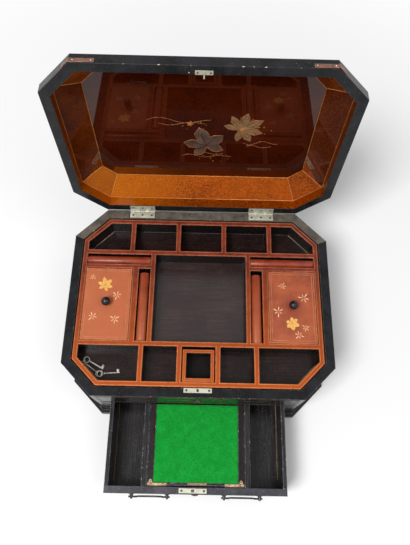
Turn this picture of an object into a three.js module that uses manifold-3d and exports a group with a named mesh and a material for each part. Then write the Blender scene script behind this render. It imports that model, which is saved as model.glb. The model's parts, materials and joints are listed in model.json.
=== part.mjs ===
// Lacquered work box with canted corners. An eight-sided case stands on a moulded plinth, with a
// bevelled lid that is open on two hinges, a lift-out tray of compartments, and a front drawer
// with a baize-lined writing flap.
// Millimetres, +Z up, +X to the right and +Y to the back. The origin is the centre of the plinth's
// flat underside. The lid and the drawer are placed as they stand when both are open.

import * as THREE from "three";
import { mergeVertices } from "three/addons/utils/BufferGeometryUtils.js";
import Module from "manifold-3d";

const wasm = await Module();
wasm.setup();

// Case
const caseWidth = 380;
const caseDepth = 282;
const caseSides = 8;
const cornerCut = 44;
const wallThickness = 13;
const plinthHeight = 14;
const plinthOverhang = 8.5;
const plinthCove = 5;
const bottomThickness = 6;
const drawerBayHeight = 56;
const dustBoardThickness = 4;
const trayWellDepth = 56;

// Gaps between pieces
const fitGap = 0.3;
const seatGap = 0.3;

// How far a cut passes the face it opens, and how far a joined part reaches into its neighbour
const cutPast = 1;
const joinInto = 1;

// Roundness of turned and bent pieces
const knuckleSides = 20;
const rodSides = 16;
const curveSteps = 20;
const coveSteps = 5;
const domeSteps = 8;
const knobSteps = 10;
const bailSteps = 48;
const mergeDistance = 1e-4;

// Tray
const trayClearance = 1.3;
const trayDrop = 1;
const trayWall = 7;
const trayHeight = 30;
const trayFloorThickness = 3;
const trayLedgeWidth = 6;
const dividerThickness = 7;
const backRowDepth = 44;
const backDividerSpacing = 68.6;
const frontRowDepth = 49.3;
const frontDividerSpacing = 54;
const crossDividers = 4;
const wellWidth = 134;
const backSlotWidth = 16;
const slotDividerThickness = 6.7;
const sideSlotWidth = 17;
const sideDividerThickness = 9;

// Loose pieces of the tray
const coverDrop = 0.5;
const coverClearance = 0.5;
const boxLidThickness = 4.5;
const boxLidLedge = 3;
const knobDiameter = 13;
const knobNeckRadius = 2.2;
const knobFootRadius = 3.3;
const knobNeckHeight = 2.5;
const caseBackWidth = 13;
const caseSideWidth = 14.5;
const caseDomeHeight = 6;
const caseFingerGap = 6;
const smallBoxWidth = 44;
const smallBoxDepth = 45;
const smallBoxWall = 5;
const smallBoxFloor = 4;

// Lid
const lidOpenAngle = 94.8;
const lidRimWidth = 12.4;
const lidRimHeight = 13.5;
const lidWallHeight = 15.3;
const lidPanelInset = 42.2;
const lidRecessDepth = 36.4;
const lidPanelThickness = 6;
const strapLength = 28;
const strapReturn = 12;
const strapHeight = 5.5;
const strapThickness = 0.6;
const strapAboveRim = 0.8;

// Hinges
const hingeLength = 38;
const hingeFromCorner = 54.7;
const hingeLeafDepth = 9.5;
const hingeLeafThickness = 1.5;
const hingeKnuckleRadius = 2;
const hingePinRadius = 1;
const hingeKnuckles = 5;
const hingeBehindCase = 0.6;
const hingeBelowRim = 1.8;

// Locks
const lockPlateWidth = 38.6;
const lockPlateDepth = 6.4;
const lockPlateThickness = 1.5;
const lockCaseWidth = 34;
const lockCaseDepth = 5.6;
const lockCaseHeight = 22;
const lockSlotWidth = 3;
const lockSlotDepth = 3.8;
const lockCavityWidth = 14;
const lockCavityHeight = 8.5;
const lidBoltLength = 4.5;
const lidBoltHeight = 2.7;
const lidBoltBelowPlate = 1.5;
const linkPlateWidth = 20;
const linkPlateDepth = 6;
const linkPlateThickness = 1.2;
const linkHookThickness = 1.8;
const linkHookWidth = 3.2;
const linkHookLength = 7.5;
const linkHookWall = 0.8;
const escutcheonWidth = 12;
const escutcheonHeight = 20;
const escutcheonThickness = 1.2;
const escutcheonBelowRim = 36;
const keyholeRadius = 1.6;
const keyholeRise = 2;

// Drawer
const stileWidth = 18.9;
const drawerBackGap = 19;
const drawerOut = 121.8;
const drawerSideClearance = 0.6;
const drawerTopClearance = 0.7;
const drawerFrontThickness = 9.5;
const drawerSideThickness = 5.5;
const drawerBackThickness = 6;
const drawerBottomThickness = 4;
const guideThickness = 4;
const partitionThickness = 7.5;
const partitionDrop = 1;
const partitionLedgeWidth = 6;
const partitionLedgeHeight = 6;
const drawerLockOffset = -4;
const drawerBoltWidth = 4;
const drawerBoltHeight = 9.5;
const drawerBoltThrow = 3.5;

// Writing flap
const flapWidth = 135.8;
const flapThickness = 6;
const flapDrop = 2;
const flapSideBorder = 8.9;
const flapFrontBorder = 1.4;
const flapCaseClearance = 0.8;
const baizeThickness = 1.1;
const baizeDrop = 0.2;
const rodRadius = 1.2;
const rodToFront = 2.6;
const rodBelowFlapTop = 1.3;
const rodClearance = 0.4;

// Bails
const bailSpacing = 50;
const bailOffset = 65;
const bailRadius = 1.25;
const bailDrop = 21;
const bailTip = 4;
const bailEndPlay = 1;
const bailShoulder = 2.6;
const bailTaper = 2.4;
const bailCorner = 4.2;
const bailPivotHeight = 36;
const postRadius = 3;
const postLength = 7;
const postHoleForward = 4.2;

// Keys
const keyBowRadius = 5.2;
const keyBowHole = 3;
const keyThickness = 2.2;
const keyShankLength = 28;
const keyShankTip = 1;
const keyBitLength = 3;
const keyBitDepth = 5;
const keyBitThickness = 1;
const leftKeyFromCorner = [8.8, 1.8];
const leftKeyTurn = -28;
const rightKeyFromCorner = [-2.1, 13.5];
const rightKeyTurn = 5;

// Levels and planes that several pieces share
const halfWidth = caseWidth / 2;
const halfDepth = caseDepth / 2;
const bottomTop = plinthHeight + bottomThickness;
const bayTop = bottomTop + drawerBayHeight;
const dustBoardTop = bayTop + dustBoardThickness;
const rimZ = dustBoardTop + trayWellDepth;
const openingHalf = halfWidth - cornerCut - stileWidth;
const trayInset = wallThickness + trayClearance;
const trayInnerInset = trayInset + trayWall;
const trayTop = rimZ - trayDrop;
const trayBottom = trayTop - trayHeight;
const trayFloorTop = trayBottom + trayFloorThickness;
const trayInnerX = halfWidth - trayInnerInset;
const trayInnerY = halfDepth - trayInnerInset;
const backDividerBack = trayInnerY - backRowDepth;
const backDividerFront = backDividerBack - dividerThickness;
const frontDividerFront = -trayInnerY + frontRowDepth;
const frontDividerBack = frontDividerFront + dividerThickness;
const wellHalf = wellWidth / 2;
const wellWallOuter = wellHalf + dividerThickness;
const slotDividerBack = backDividerFront - backSlotWidth;
const slotDividerFront = slotDividerBack - slotDividerThickness;
const sideDividerInner = wellWallOuter + sideSlotWidth;
const sideDividerOuter = sideDividerInner + sideDividerThickness;
const coverTop = trayTop - coverDrop;
const boxLidBottom = coverTop - boxLidThickness;
const lidBase = rimZ + seatGap;
const hingeOffset = halfWidth - cornerCut - hingeFromCorner;
const hingeY = halfDepth + hingeBehindCase;
const hingeZ = rimZ - hingeBelowRim;
const lockPlateY = -halfDepth + wallThickness - lockPlateDepth / 2;

const lacquer = (color, roughness) => new THREE.MeshStandardMaterial({ color, roughness, metalness: 0 });
const metal = (color, roughness) => new THREE.MeshStandardMaterial({ color, roughness, metalness: 1 });
const blackLacquer = lacquer(0x1b1b22, 0.3);
const darkWood = lacquer(0x2e221c, 0.55);
const redLacquer = lacquer(0xc2542a, 0.35);
const lidRedLacquer = lacquer(0x6e2a15, 0.15);
const ebony = lacquer(0x141214, 0.25);
const baize = lacquer(0x2fb85c, 0.95);
const silverMetal = metal(0xd3d0c4, 0.3);
const steel = metal(0x9b9a96, 0.4);
const brass = metal(0xcaa564, 0.35);
const copper = metal(0xb87355, 0.4);

// Closed solid with its shared vertices merged, ready for joining and cutting.
function solidOf(geometry) {
  const bare = new THREE.BufferGeometry();
  bare.setAttribute("position", geometry.getAttribute("position").clone());
  if (geometry.index) bare.setIndex(geometry.index.clone());
  const merged = mergeVertices(bare, mergeDistance);
  return new wasm.Manifold(new wasm.Mesh({
    numProp: 3,
    vertProperties: new Float32Array(merged.getAttribute("position").array),
    triVerts: new Uint32Array(merged.index.array),
  }));
}

function geometryOf(solid) {
  const mesh = solid.getMesh();
  const geometry = new THREE.BufferGeometry();
  geometry.setAttribute("position", new THREE.BufferAttribute(new Float32Array(mesh.vertProperties), 3));
  geometry.setIndex(new THREE.BufferAttribute(new Uint32Array(mesh.triVerts), 1));
  geometry.computeVertexNormals();
  return geometry;
}

function joined(...geometries) {
  let whole = solidOf(geometries[0]);
  for (const geometry of geometries.slice(1)) whole = whole.add(solidOf(geometry));
  return geometryOf(whole);
}

function cut(geometry, ...tools) {
  let rest = solidOf(geometry);
  for (const tool of tools) rest = rest.subtract(solidOf(tool));
  return geometryOf(rest);
}

// Rectangular block between two limits along each axis.
function block(x, y, z) {
  const geometry = new THREE.BoxGeometry(x[1] - x[0], y[1] - y[0], z[1] - z[0]);
  geometry.translate((x[0] + x[1]) / 2, (y[0] + y[1]) / 2, (z[0] + z[1]) / 2);
  return geometry;
}

// Upright prism over a plan outline.
function prism(points, z) {
  const shape = new THREE.Shape(points.map(([x, y]) => new THREE.Vector2(x, y)));
  const geometry = new THREE.ExtrudeGeometry(shape, { depth: z[1] - z[0], bevelEnabled: false });
  geometry.translate(0, 0, z[0]);
  return geometry;
}

function rodAlongX(x, y, z, radius, sides) {
  const geometry = new THREE.CylinderGeometry(radius, radius, x[1] - x[0], sides);
  geometry.rotateZ(Math.PI / 2);
  geometry.translate((x[0] + x[1]) / 2, y, z);
  return geometry;
}

function rodAlongY(x, y, z, radius, sides) {
  const geometry = new THREE.CylinderGeometry(radius, radius, y[1] - y[0], sides);
  geometry.translate(x, (y[0] + y[1]) / 2, z);
  return geometry;
}

// Plan outline of the case, set in from its outer face, anticlockwise from the front left.
function octagon(inset) {
  const w = halfWidth - inset;
  const d = halfDepth - inset;
  const c = cornerCut - inset * (2 - Math.SQRT2);
  return [[c - w, -d], [w - c, -d], [w, c - d], [w, d - c], [w - c, d], [c - w, d], [-w, d - c], [-w, c - d]];
}

// Octagonal body from a profile of [inset, z] points that climbs its outside. A closed profile
// makes a frame, and an open one a slab with a flat underside and top.
function octagonalBody(profile, closed) {
  const positions = profile.flatMap(([inset, z]) => octagon(inset).flatMap(([x, y]) => [x, y, z]));
  const indices = [];
  const rows = closed ? profile.length : profile.length - 1;
  for (let row = 0; row < rows; row += 1) {
    const low = row * caseSides;
    const high = ((row + 1) % profile.length) * caseSides;
    for (let side = 0; side < caseSides; side += 1) {
      const next = (side + 1) % caseSides;
      indices.push(low + side, low + next, high + next);
      indices.push(low + side, high + next, high + side);
    }
  }
  if (!closed) {
    const top = rows * caseSides;
    for (let side = 1; side < caseSides - 1; side += 1) {
      indices.push(0, side + 1, side);
      indices.push(top, top + side, top + side + 1);
    }
  }
  const geometry = new THREE.BufferGeometry();
  geometry.setAttribute("position", new THREE.Float32BufferAttribute(positions, 3));
  geometry.setIndex(indices);
  geometry.computeVertexNormals();
  return geometry;
}

function octagonalFrame(outer, inner, z) {
  return octagonalBody([[outer, z[0]], [outer, z[1]], [inner, z[1]], [inner, z[0]]], true);
}

function octagonalBoard(inset, z) {
  return octagonalBody([[inset, z[0]], [inset, z[1]]], false);
}

// Mitred board along one side of the case wall.
function wallBoard(side, z) {
  const outer = octagon(0);
  const inner = octagon(wallThickness);
  const next = (side + 1) % caseSides;
  return prism([outer[side], outer[next], inner[next], inner[side]], z);
}

function piece(parent, name, geometry, material) {
  const mesh = new THREE.Mesh(geometry, material);
  mesh.name = name;
  parent.add(mesh);
  return mesh;
}

const pairs = [["left", -1], ["right", 1]];
const mirrored = (sign, low, high) => (sign > 0 ? [low, high] : [-high, -low]);

function makePlinth(parent) {
  const profile = [[-plinthOverhang, 0], [-plinthOverhang, plinthHeight - plinthCove]];
  for (let step = 1; step <= coveSteps; step += 1) {
    const turn = (step / coveSteps) * (Math.PI / 2);
    const inset = -plinthOverhang + plinthCove * Math.sin(turn);
    profile.push([inset, plinthHeight - plinthCove * Math.cos(turn)]);
  }
  piece(parent, "plinth", octagonalBody(profile, false), blackLacquer);
  piece(parent, "bottom_board", octagonalBoard(0, [plinthHeight, bottomTop]), blackLacquer);
}

// Pocket that takes a lock's case and, wider and shallower, its plate. It can be carried on
// behind the lock, out through the board's back face.
function lockPocket(centreX, centreY, top, behind) {
  const halfCase = lockCaseWidth / 2 + fitGap;
  const halfPlate = lockPlateWidth / 2 + fitGap;
  const caseY = [centreY - lockCaseDepth / 2 - fitGap, centreY + lockCaseDepth / 2 + fitGap + behind];
  const plateY = [centreY - lockPlateDepth / 2 - fitGap, centreY + lockPlateDepth / 2 + fitGap + behind];
  const caseZ = [top - lockPlateThickness - lockCaseHeight - fitGap, top + fitGap];
  const plateZ = [top - lockPlateThickness - fitGap, top + fitGap];
  return [
    block([centreX - halfCase, centreX + halfCase], caseY, caseZ),
    block([centreX - halfPlate, centreX + halfPlate], plateY, plateZ),
  ];
}

function makeFrontRail(parent) {
  const boltHalf = drawerBoltWidth / 2 + fitGap * 2;
  const boltY = -halfDepth + drawerFrontThickness / 2;
  const boltPocket = block(
    [drawerLockOffset - boltHalf, drawerLockOffset + boltHalf],
    [boltY - lockSlotDepth / 2 - fitGap, boltY + lockSlotDepth / 2 + fitGap],
    [bayTop - fitGap, bayTop + drawerBoltThrow + fitGap],
  );
  const lidLockPocket = lockPocket(0, lockPlateY, rimZ, cutPast);
  const rail = cut(wallBoard(0, [bayTop, rimZ]), ...lidLockPocket, boltPocket);
  piece(parent, "front_rail", rail, blackLacquer);
}

// The front corners carry the stiles beside the drawer's opening.
function makeFrontCorners(parent) {
  const outer = octagon(0);
  const inner = octagon(wallThickness);
  for (const [side, sign] of pairs) {
    const corner = sign < 0 ? 0 : 1;
    const canted = wallBoard(sign < 0 ? 7 : 1, [bottomTop, rimZ]);
    const edge = sign * openingHalf;
    const outline = [outer[corner], [edge, -halfDepth], [edge, wallThickness - halfDepth], inner[corner]];
    if (sign > 0) outline.reverse();
    const stile = prism(outline, [bottomTop, bayTop]);
    piece(parent, `front_corner_${side}`, joined(canted, stile), blackLacquer);
  }
}

function makeBackBoard(parent) {
  const cuts = [];
  const half = hingeLength / 2 + fitGap;
  const leafY = halfDepth + hingeBehindCase - hingeKnuckleRadius - fitGap - hingeLeafDepth;
  const knuckleReach = hingeKnuckleRadius + fitGap;
  for (const [, sign] of pairs) {
    const x = [sign * hingeOffset - half, sign * hingeOffset + half];
    const leafZ = [rimZ - hingeLeafThickness - fitGap, rimZ + cutPast];
    cuts.push(block(x, [leafY, halfDepth + cutPast], leafZ));
    const knuckleZ = [hingeZ - knuckleReach, rimZ + cutPast];
    cuts.push(block(x, [hingeY - knuckleReach, halfDepth + cutPast], knuckleZ));
  }
  piece(parent, "back_board", cut(wallBoard(4, [bottomTop, rimZ]), ...cuts), blackLacquer);
}

function makeCase(parent) {
  const z = [bottomTop, rimZ];
  makePlinth(parent);
  makeFrontRail(parent);
  makeFrontCorners(parent);
  makeBackBoard(parent);
  piece(parent, "back_corner_left", wallBoard(5, z), blackLacquer);
  piece(parent, "back_corner_right", wallBoard(3, z), blackLacquer);
  piece(parent, "left_board", wallBoard(6, z), blackLacquer);
  piece(parent, "right_board", wallBoard(2, z), blackLacquer);
  piece(parent, "dust_board", octagonalBoard(wallThickness, [bayTop, dustBoardTop]), darkWood);
  const ledge = octagonalFrame(wallThickness, wallThickness + trayLedgeWidth, [dustBoardTop, trayBottom]);
  piece(parent, "tray_ledge", ledge, darkWood);
  for (const [side, sign] of pairs) {
    const x = mirrored(sign, openingHalf, openingHalf + guideThickness);
    const y = [wallThickness - halfDepth, halfDepth - wallThickness];
    piece(parent, `drawer_guide_${side}`, block(x, y, [bottomTop, bayTop]), darkWood);
  }
}

// A hinge leaf is a plate let into the rim, with tabs out to its own knuckles. The lid's
// knuckles hang on necks below its plate.
function hingeLeaf(centreX, ofLid) {
  const plateBack = hingeY - hingeKnuckleRadius - fitGap;
  const plateFront = plateBack - hingeLeafDepth + fitGap;
  const z = ofLid ? [lidBase, lidBase + hingeLeafThickness] : [rimZ - hingeLeafThickness, rimZ];
  const left = centreX - hingeLength / 2;
  const pitch = hingeLength / hingeKnuckles;
  const parts = [block([left, left + hingeLength], [plateFront, plateBack], z)];
  for (let index = ofLid ? 1 : 0; index < hingeKnuckles; index += 2) {
    const x = [left + index * pitch + fitGap / 2, left + (index + 1) * pitch - fitGap / 2];
    parts.push(block(x, [plateBack - fitGap, ofLid ? hingeY + hingeKnuckleRadius : hingeY], z));
    if (ofLid) {
      parts.push(block(x, [hingeY - hingeKnuckleRadius, hingeY + hingeKnuckleRadius], [hingeZ, z[1]]));
    }
    parts.push(rodAlongX(x, hingeY, hingeZ, hingeKnuckleRadius, knuckleSides));
  }
  const holeX = [left - cutPast, left + hingeLength + cutPast];
  return cut(joined(...parts), rodAlongX(holeX, hingeY, hingeZ, hingePinRadius + fitGap, rodSides));
}

function makeCaseHinges(parent) {
  for (const [side, sign] of pairs) {
    const x = sign * hingeOffset;
    piece(parent, `hinge_case_leaf_${side}`, hingeLeaf(x, false), silverMetal);
    const along = [x - hingeLength / 2, x + hingeLength / 2];
    const pin = rodAlongX(along, hingeY, hingeZ, hingePinRadius, rodSides);
    piece(parent, `hinge_pin_${side}`, pin, steel);
  }
}

// A lock is a plate with a slot over a case with a cavity for its bolt.
function lock(centreX, centreY, top, slotWidth, cavityWidth, cavityHeight) {
  const under = top - lockPlateThickness;
  const across = (width) => [centreX - width / 2, centreX + width / 2];
  const deep = (depth) => [centreY - depth / 2, centreY + depth / 2];
  const plate = block(across(lockPlateWidth), deep(lockPlateDepth), [under, top]);
  const body = block(across(lockCaseWidth), deep(lockCaseDepth), [under - lockCaseHeight, under]);
  const slot = block(across(slotWidth), deep(lockSlotDepth), [under - cutPast, top + cutPast]);
  const cavity = block(across(cavityWidth), deep(lockSlotDepth), [under - cavityHeight, under]);
  return cut(joined(plate, body), cavity, slot);
}

function makeLidLock(parent) {
  const under = rimZ - lockPlateThickness;
  const lidLock = lock(0, lockPlateY, rimZ, lockSlotWidth, lockCavityWidth, lockCavityHeight);
  piece(parent, "lid_lock", lidLock, silverMetal);
  const left = -lockCavityWidth / 2 + fitGap;
  const high = under - lidBoltBelowPlate;
  const boltDepth = lockSlotDepth / 2 - fitGap;
  const bolt = block(
    [left, left + lidBoltLength],
    [lockPlateY - boltDepth, lockPlateY + boltDepth],
    [high - lidBoltHeight, high],
  );
  piece(parent, "lid_lock_bolt", bolt, brass);
}

function makeEscutcheon(parent) {
  const shape = new THREE.Shape();
  shape.absellipse(0, 0, escutcheonWidth / 2, escutcheonHeight / 2, 0, 2 * Math.PI);
  const keyhole = new THREE.Path();
  keyhole.absarc(0, keyholeRise, keyholeRadius, 0, 2 * Math.PI, true);
  shape.holes.push(keyhole);
  const options = { depth: escutcheonThickness, bevelEnabled: false, curveSegments: curveSteps };
  const mesh = piece(parent, "front_escutcheon", new THREE.ExtrudeGeometry(shape, options), silverMetal);
  mesh.rotation.x = Math.PI / 2;
  mesh.position.set(0, -halfDepth, rimZ - escutcheonBelowRim);
}

function makeLid(parent) {
  const pivot = new THREE.Group();
  pivot.position.set(0, hingeY, hingeZ);
  pivot.rotation.x = -THREE.MathUtils.degToRad(lidOpenAngle);
  parent.add(pivot);
  const lid = new THREE.Group();
  lid.position.set(0, -hingeY, -hingeZ);
  pivot.add(lid);

  const rimTop = lidBase + lidRimHeight;
  const rebates = [];
  const half = hingeLength / 2 + fitGap;
  const leafFront = hingeY - hingeKnuckleRadius - fitGap - hingeLeafDepth;
  for (const [, sign] of pairs) {
    const x = [sign * hingeOffset - half, sign * hingeOffset + half];
    const leafZ = [lidBase - cutPast, lidBase + hingeLeafThickness + fitGap];
    rebates.push(block(x, [leafFront, halfDepth + cutPast], leafZ));
  }
  const linkHalf = linkPlateWidth / 2 + fitGap;
  const linkY = [lockPlateY - linkPlateDepth / 2 - fitGap, lockPlateY + linkPlateDepth / 2 + fitGap];
  const linkZ = [lidBase - cutPast, lidBase + linkPlateThickness + fitGap];
  rebates.push(block([-linkHalf, linkHalf], linkY, linkZ));
  const rim = octagonalFrame(0, lidRimWidth, [lidBase, rimTop]);
  piece(lid, "lid_rim", cut(rim, ...rebates), blackLacquer);

  const bevelBase = rimTop + fitGap;
  const outerHeight = lidRimHeight + fitGap;
  const slope = (lidRecessDepth - lidWallHeight) / (lidPanelInset - lidRimWidth);
  const lidTop = lidRecessDepth + lidPanelThickness;
  const profile = [
    [0, bevelBase],
    [(lidTop - outerHeight) / slope, lidBase + lidTop],
    [lidPanelInset, lidBase + lidTop],
    [lidPanelInset, lidBase + lidRecessDepth],
    [lidRimWidth, lidBase + lidWallHeight],
    [lidRimWidth, bevelBase],
  ];
  piece(lid, "lid_bevel", octagonalBody(profile, true), blackLacquer);
  const panelZ = [lidBase + lidRecessDepth, lidBase + lidTop];
  piece(lid, "lid_panel", octagonalBoard(lidPanelInset + fitGap, panelZ), lidRedLacquer);

  for (const [side, sign] of pairs) {
    piece(lid, `hinge_lid_leaf_${side}`, hingeLeaf(sign * hingeOffset, true), silverMetal);
  }
  makeLinkPlate(lid);
  makeStraps(lid);
}

// The link plate's hook goes down into the lock, where the bolt passes through its eye.
function makeLinkPlate(lid) {
  const across = (width) => [-width / 2, width / 2];
  const deep = (depth) => [lockPlateY - depth / 2, lockPlateY + depth / 2];
  const plateTop = lidBase + linkPlateThickness;
  const plate = block(across(linkPlateWidth), deep(linkPlateDepth), [lidBase, plateTop]);
  const hook = block(across(linkHookThickness), deep(linkHookWidth), [lidBase - linkHookLength, plateTop]);
  const eyeTop = rimZ - lockPlateThickness - lidBoltBelowPlate + fitGap;
  const eyeLow = lidBase - linkHookLength + linkHookWall;
  const eyeWidth = linkHookWidth - 2 * linkHookWall;
  const eye = block(across(linkHookThickness + 2 * cutPast), deep(eyeWidth), [eyeLow, eyeTop]);
  piece(lid, "lid_link_plate", cut(joined(plate, hook), eye), silverMetal);
}

// Thin strap bent round a front corner of the lid, held by nails.
function makeStraps(lid) {
  const low = lidBase + strapAboveRim;
  for (const [side, sign] of pairs) {
    const inner = octagon(-fitGap)[0];
    const outer = octagon(-fitGap - strapThickness)[0];
    const back = strapReturn / Math.SQRT2;
    const outline = [
      [outer[0] - back, outer[1] + back],
      outer,
      [inner[0] + strapLength, outer[1]],
      [inner[0] + strapLength, inner[1]],
      inner,
      [inner[0] - back, inner[1] + back],
    ].map(([x, y]) => [-sign * x, y]);
    if (sign > 0) outline.reverse();
    piece(lid, `corner_strap_${side}`, prism(outline, [low, low + strapHeight]), copper);
  }
}

// Long board across the tray with cross boards that part one row into compartments.
function rowDividers(longY, crossY, spacing, ledges) {
  const z = [trayFloorTop, trayTop];
  const boards = [block([-trayInnerX, trayInnerX], longY, z)];
  for (let index = 0; index < crossDividers; index += 1) {
    const centre = (index - (crossDividers - 1) / 2) * spacing;
    boards.push(block([centre - dividerThickness / 2, centre + dividerThickness / 2], crossY, z));
  }
  return joined(...boards, ...ledges);
}

function makeTrayDividers(tray) {
  const ledgeZ = [trayFloorTop, boxLidBottom];
  const frontLedges = pairs.map(([, sign]) => block(
    mirrored(sign, sideDividerOuter, trayInnerX),
    [frontDividerBack - joinInto, frontDividerBack + boxLidLedge],
    ledgeZ,
  ));
  const backLong = [backDividerFront, backDividerBack];
  const backCross = [backDividerBack - joinInto, trayInnerY];
  piece(tray, "tray_back_dividers", rowDividers(backLong, backCross, backDividerSpacing, []), redLacquer);
  const frontLong = [frontDividerFront, frontDividerBack];
  const frontCross = [-trayInnerY, frontDividerFront + joinInto];
  const front = rowDividers(frontLong, frontCross, frontDividerSpacing, frontLedges);
  piece(tray, "tray_front_dividers", front, redLacquer);
  const z = [trayFloorTop, trayTop];
  for (const [side, sign] of pairs) {
    const ledgeFront = frontDividerBack + boxLidLedge;
    const wellWall = block(
      mirrored(sign, wellHalf, wellWallOuter),
      [frontDividerBack, backDividerFront],
      z,
    );
    const slotWall = block(
      mirrored(sign, wellWallOuter - joinInto, trayInnerX),
      [slotDividerFront, slotDividerBack],
      z,
    );
    const sideWall = block(
      mirrored(sign, sideDividerInner, sideDividerOuter),
      [frontDividerBack, slotDividerFront + joinInto],
      z,
    );
    const innerLedge = block(
      mirrored(sign, sideDividerOuter - joinInto, sideDividerOuter + boxLidLedge),
      [ledgeFront, slotDividerFront],
      ledgeZ,
    );
    const backLedge = block(
      mirrored(sign, sideDividerOuter, trayInnerX),
      [slotDividerFront - boxLidLedge, slotDividerFront + joinInto],
      ledgeZ,
    );
    const dividers = joined(wellWall, slotWall, sideWall, innerLedge, backLedge);
    piece(tray, `tray_side_dividers_${side}`, dividers, redLacquer);
  }
}

function makeBoxLids(tray) {
  for (const [side, sign] of pairs) {
    const x = mirrored(sign, sideDividerOuter + coverClearance, trayInnerX - coverClearance);
    const y = [frontDividerBack + coverClearance, slotDividerFront - coverClearance];
    piece(tray, `box_lid_${side}`, block(x, y, [boxLidBottom, coverTop]), redLacquer);
    const radius = knobDiameter / 2;
    const start = Math.asin(knobNeckRadius / radius);
    const profile = [new THREE.Vector2(0, 0), new THREE.Vector2(knobFootRadius, 0)];
    const centre = knobNeckHeight + radius * Math.cos(start);
    for (let step = 0; step <= knobSteps; step += 1) {
      const turn = start + (step / knobSteps) * (Math.PI - start);
      const out = step === knobSteps ? 0 : radius * Math.sin(turn);
      profile.push(new THREE.Vector2(out, centre - radius * Math.cos(turn)));
    }
    const knob = piece(tray, `box_knob_${side}`, new THREE.LatheGeometry(profile, curveSteps), ebony);
    knob.rotation.x = Math.PI / 2;
    knob.position.set((x[0] + x[1]) / 2, (y[0] + y[1]) / 2, coverTop);
  }
}

// Long needle case with a domed top, standing on the tray's floor.
function needleCase(width, length) {
  const height = coverTop - trayFloorTop;
  const shape = new THREE.Shape();
  shape.moveTo(-width / 2, 0);
  shape.lineTo(width / 2, 0);
  shape.lineTo(width / 2, height - caseDomeHeight);
  shape.absellipse(0, height - caseDomeHeight, width / 2, caseDomeHeight, 0, Math.PI);
  shape.closePath();
  return new THREE.ExtrudeGeometry(shape, { depth: length, bevelEnabled: false, curveSegments: domeSteps });
}

function makeNeedleCases(tray) {
  for (const [side, sign] of pairs) {
    const backLength = trayInnerX - wellWallOuter - 2 * coverClearance;
    const back = piece(tray, `needle_case_back_${side}`, needleCase(caseBackWidth, backLength), redLacquer);
    back.rotation.set(Math.PI / 2, Math.PI / 2, 0);
    const startX = sign > 0 ? wellWallOuter + coverClearance : coverClearance - trayInnerX;
    back.position.set(startX, (slotDividerBack + backDividerFront) / 2, trayFloorTop);

    const sideLength = slotDividerFront - frontDividerBack - coverClearance - caseFingerGap;
    const along = piece(tray, `needle_case_side_${side}`, needleCase(caseSideWidth, sideLength), redLacquer);
    along.rotation.x = Math.PI / 2;
    const centreX = sign * (wellWallOuter + sideDividerInner) / 2;
    along.position.set(centreX, frontDividerBack + coverClearance + sideLength, trayFloorTop);
  }
}

function makeSmallBox(tray) {
  const halfBox = smallBoxWidth / 2;
  const front = coverClearance - trayInnerY;
  const outside = block([-halfBox, halfBox], [front, front + smallBoxDepth], [trayFloorTop, coverTop]);
  const inside = block(
    [smallBoxWall - halfBox, halfBox - smallBoxWall],
    [front + smallBoxWall, front + smallBoxDepth - smallBoxWall],
    [trayFloorTop + smallBoxFloor, coverTop + cutPast],
  );
  piece(tray, "small_box", cut(outside, inside), redLacquer);
}

// Key lying flat on the tray's floor. Its bow is placed from an inner corner of the tray.
function makeKey(tray, name, corner, fromCorner, turn) {
  const bow = new THREE.Shape();
  bow.absarc(0, 0, keyBowRadius, 0, 2 * Math.PI);
  const hole = new THREE.Path();
  hole.absarc(0, 0, keyBowHole, 0, 2 * Math.PI, true);
  bow.holes.push(hole);
  const options = { depth: keyThickness, bevelEnabled: false, curveSegments: curveSteps };
  const ring = new THREE.ExtrudeGeometry(bow, options);
  const shankStart = (keyBowRadius + keyBowHole) / 2;
  const middle = keyThickness / 2;
  const shank = rodAlongX([shankStart, keyShankLength], 0, middle, middle, rodSides);
  const bitEnd = keyShankLength - keyShankTip;
  const bitZ = [middle - keyBitThickness / 2, middle + keyBitThickness / 2];
  const bit = block([bitEnd - keyBitLength, bitEnd], [0, keyBitDepth], bitZ);
  const key = piece(tray, name, joined(ring, shank, bit), steel);
  key.position.set(corner[0] + fromCorner[0], corner[1] + fromCorner[1], trayFloorTop);
  key.rotation.z = THREE.MathUtils.degToRad(turn);
}

function makeTray(parent) {
  const tray = new THREE.Group();
  parent.add(tray);
  piece(tray, "tray_floor", octagonalBoard(trayInset, [trayBottom, trayFloorTop]), darkWood);
  piece(tray, "tray_frame", octagonalFrame(trayInset, trayInnerInset, [trayFloorTop, trayTop]), redLacquer);
  makeTrayDividers(tray);
  makeBoxLids(tray);
  makeNeedleCases(tray);
  makeSmallBox(tray);
  const corners = octagon(trayInnerInset);
  makeKey(tray, "key_left", corners[7], leftKeyFromCorner, leftKeyTurn);
  makeKey(tray, "key_right", corners[0], rightKeyFromCorner, rightKeyTurn);
}

const drawerFloor = bottomTop + fitGap;
const drawerTop = bayTop - drawerTopClearance;
const drawerInnerFront = -halfDepth + drawerFrontThickness;
const drawerBack = halfDepth - wallThickness - drawerBackGap;
const drawerBackFront = drawerBack - drawerBackThickness;
const drawerHalf = openingHalf - drawerSideClearance;
const partitionInner = flapWidth / 2 + coverClearance;
const flapTop = drawerTop - flapDrop;
const rodY = drawerInnerFront + rodToFront;
const flapFront = rodY + rodRadius + rodClearance;
const flapBack = -halfDepth + drawerOut - flapCaseClearance;
const bailY = -halfDepth - postHoleForward;
const bailZ = drawerFloor + bailPivotHeight;

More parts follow.
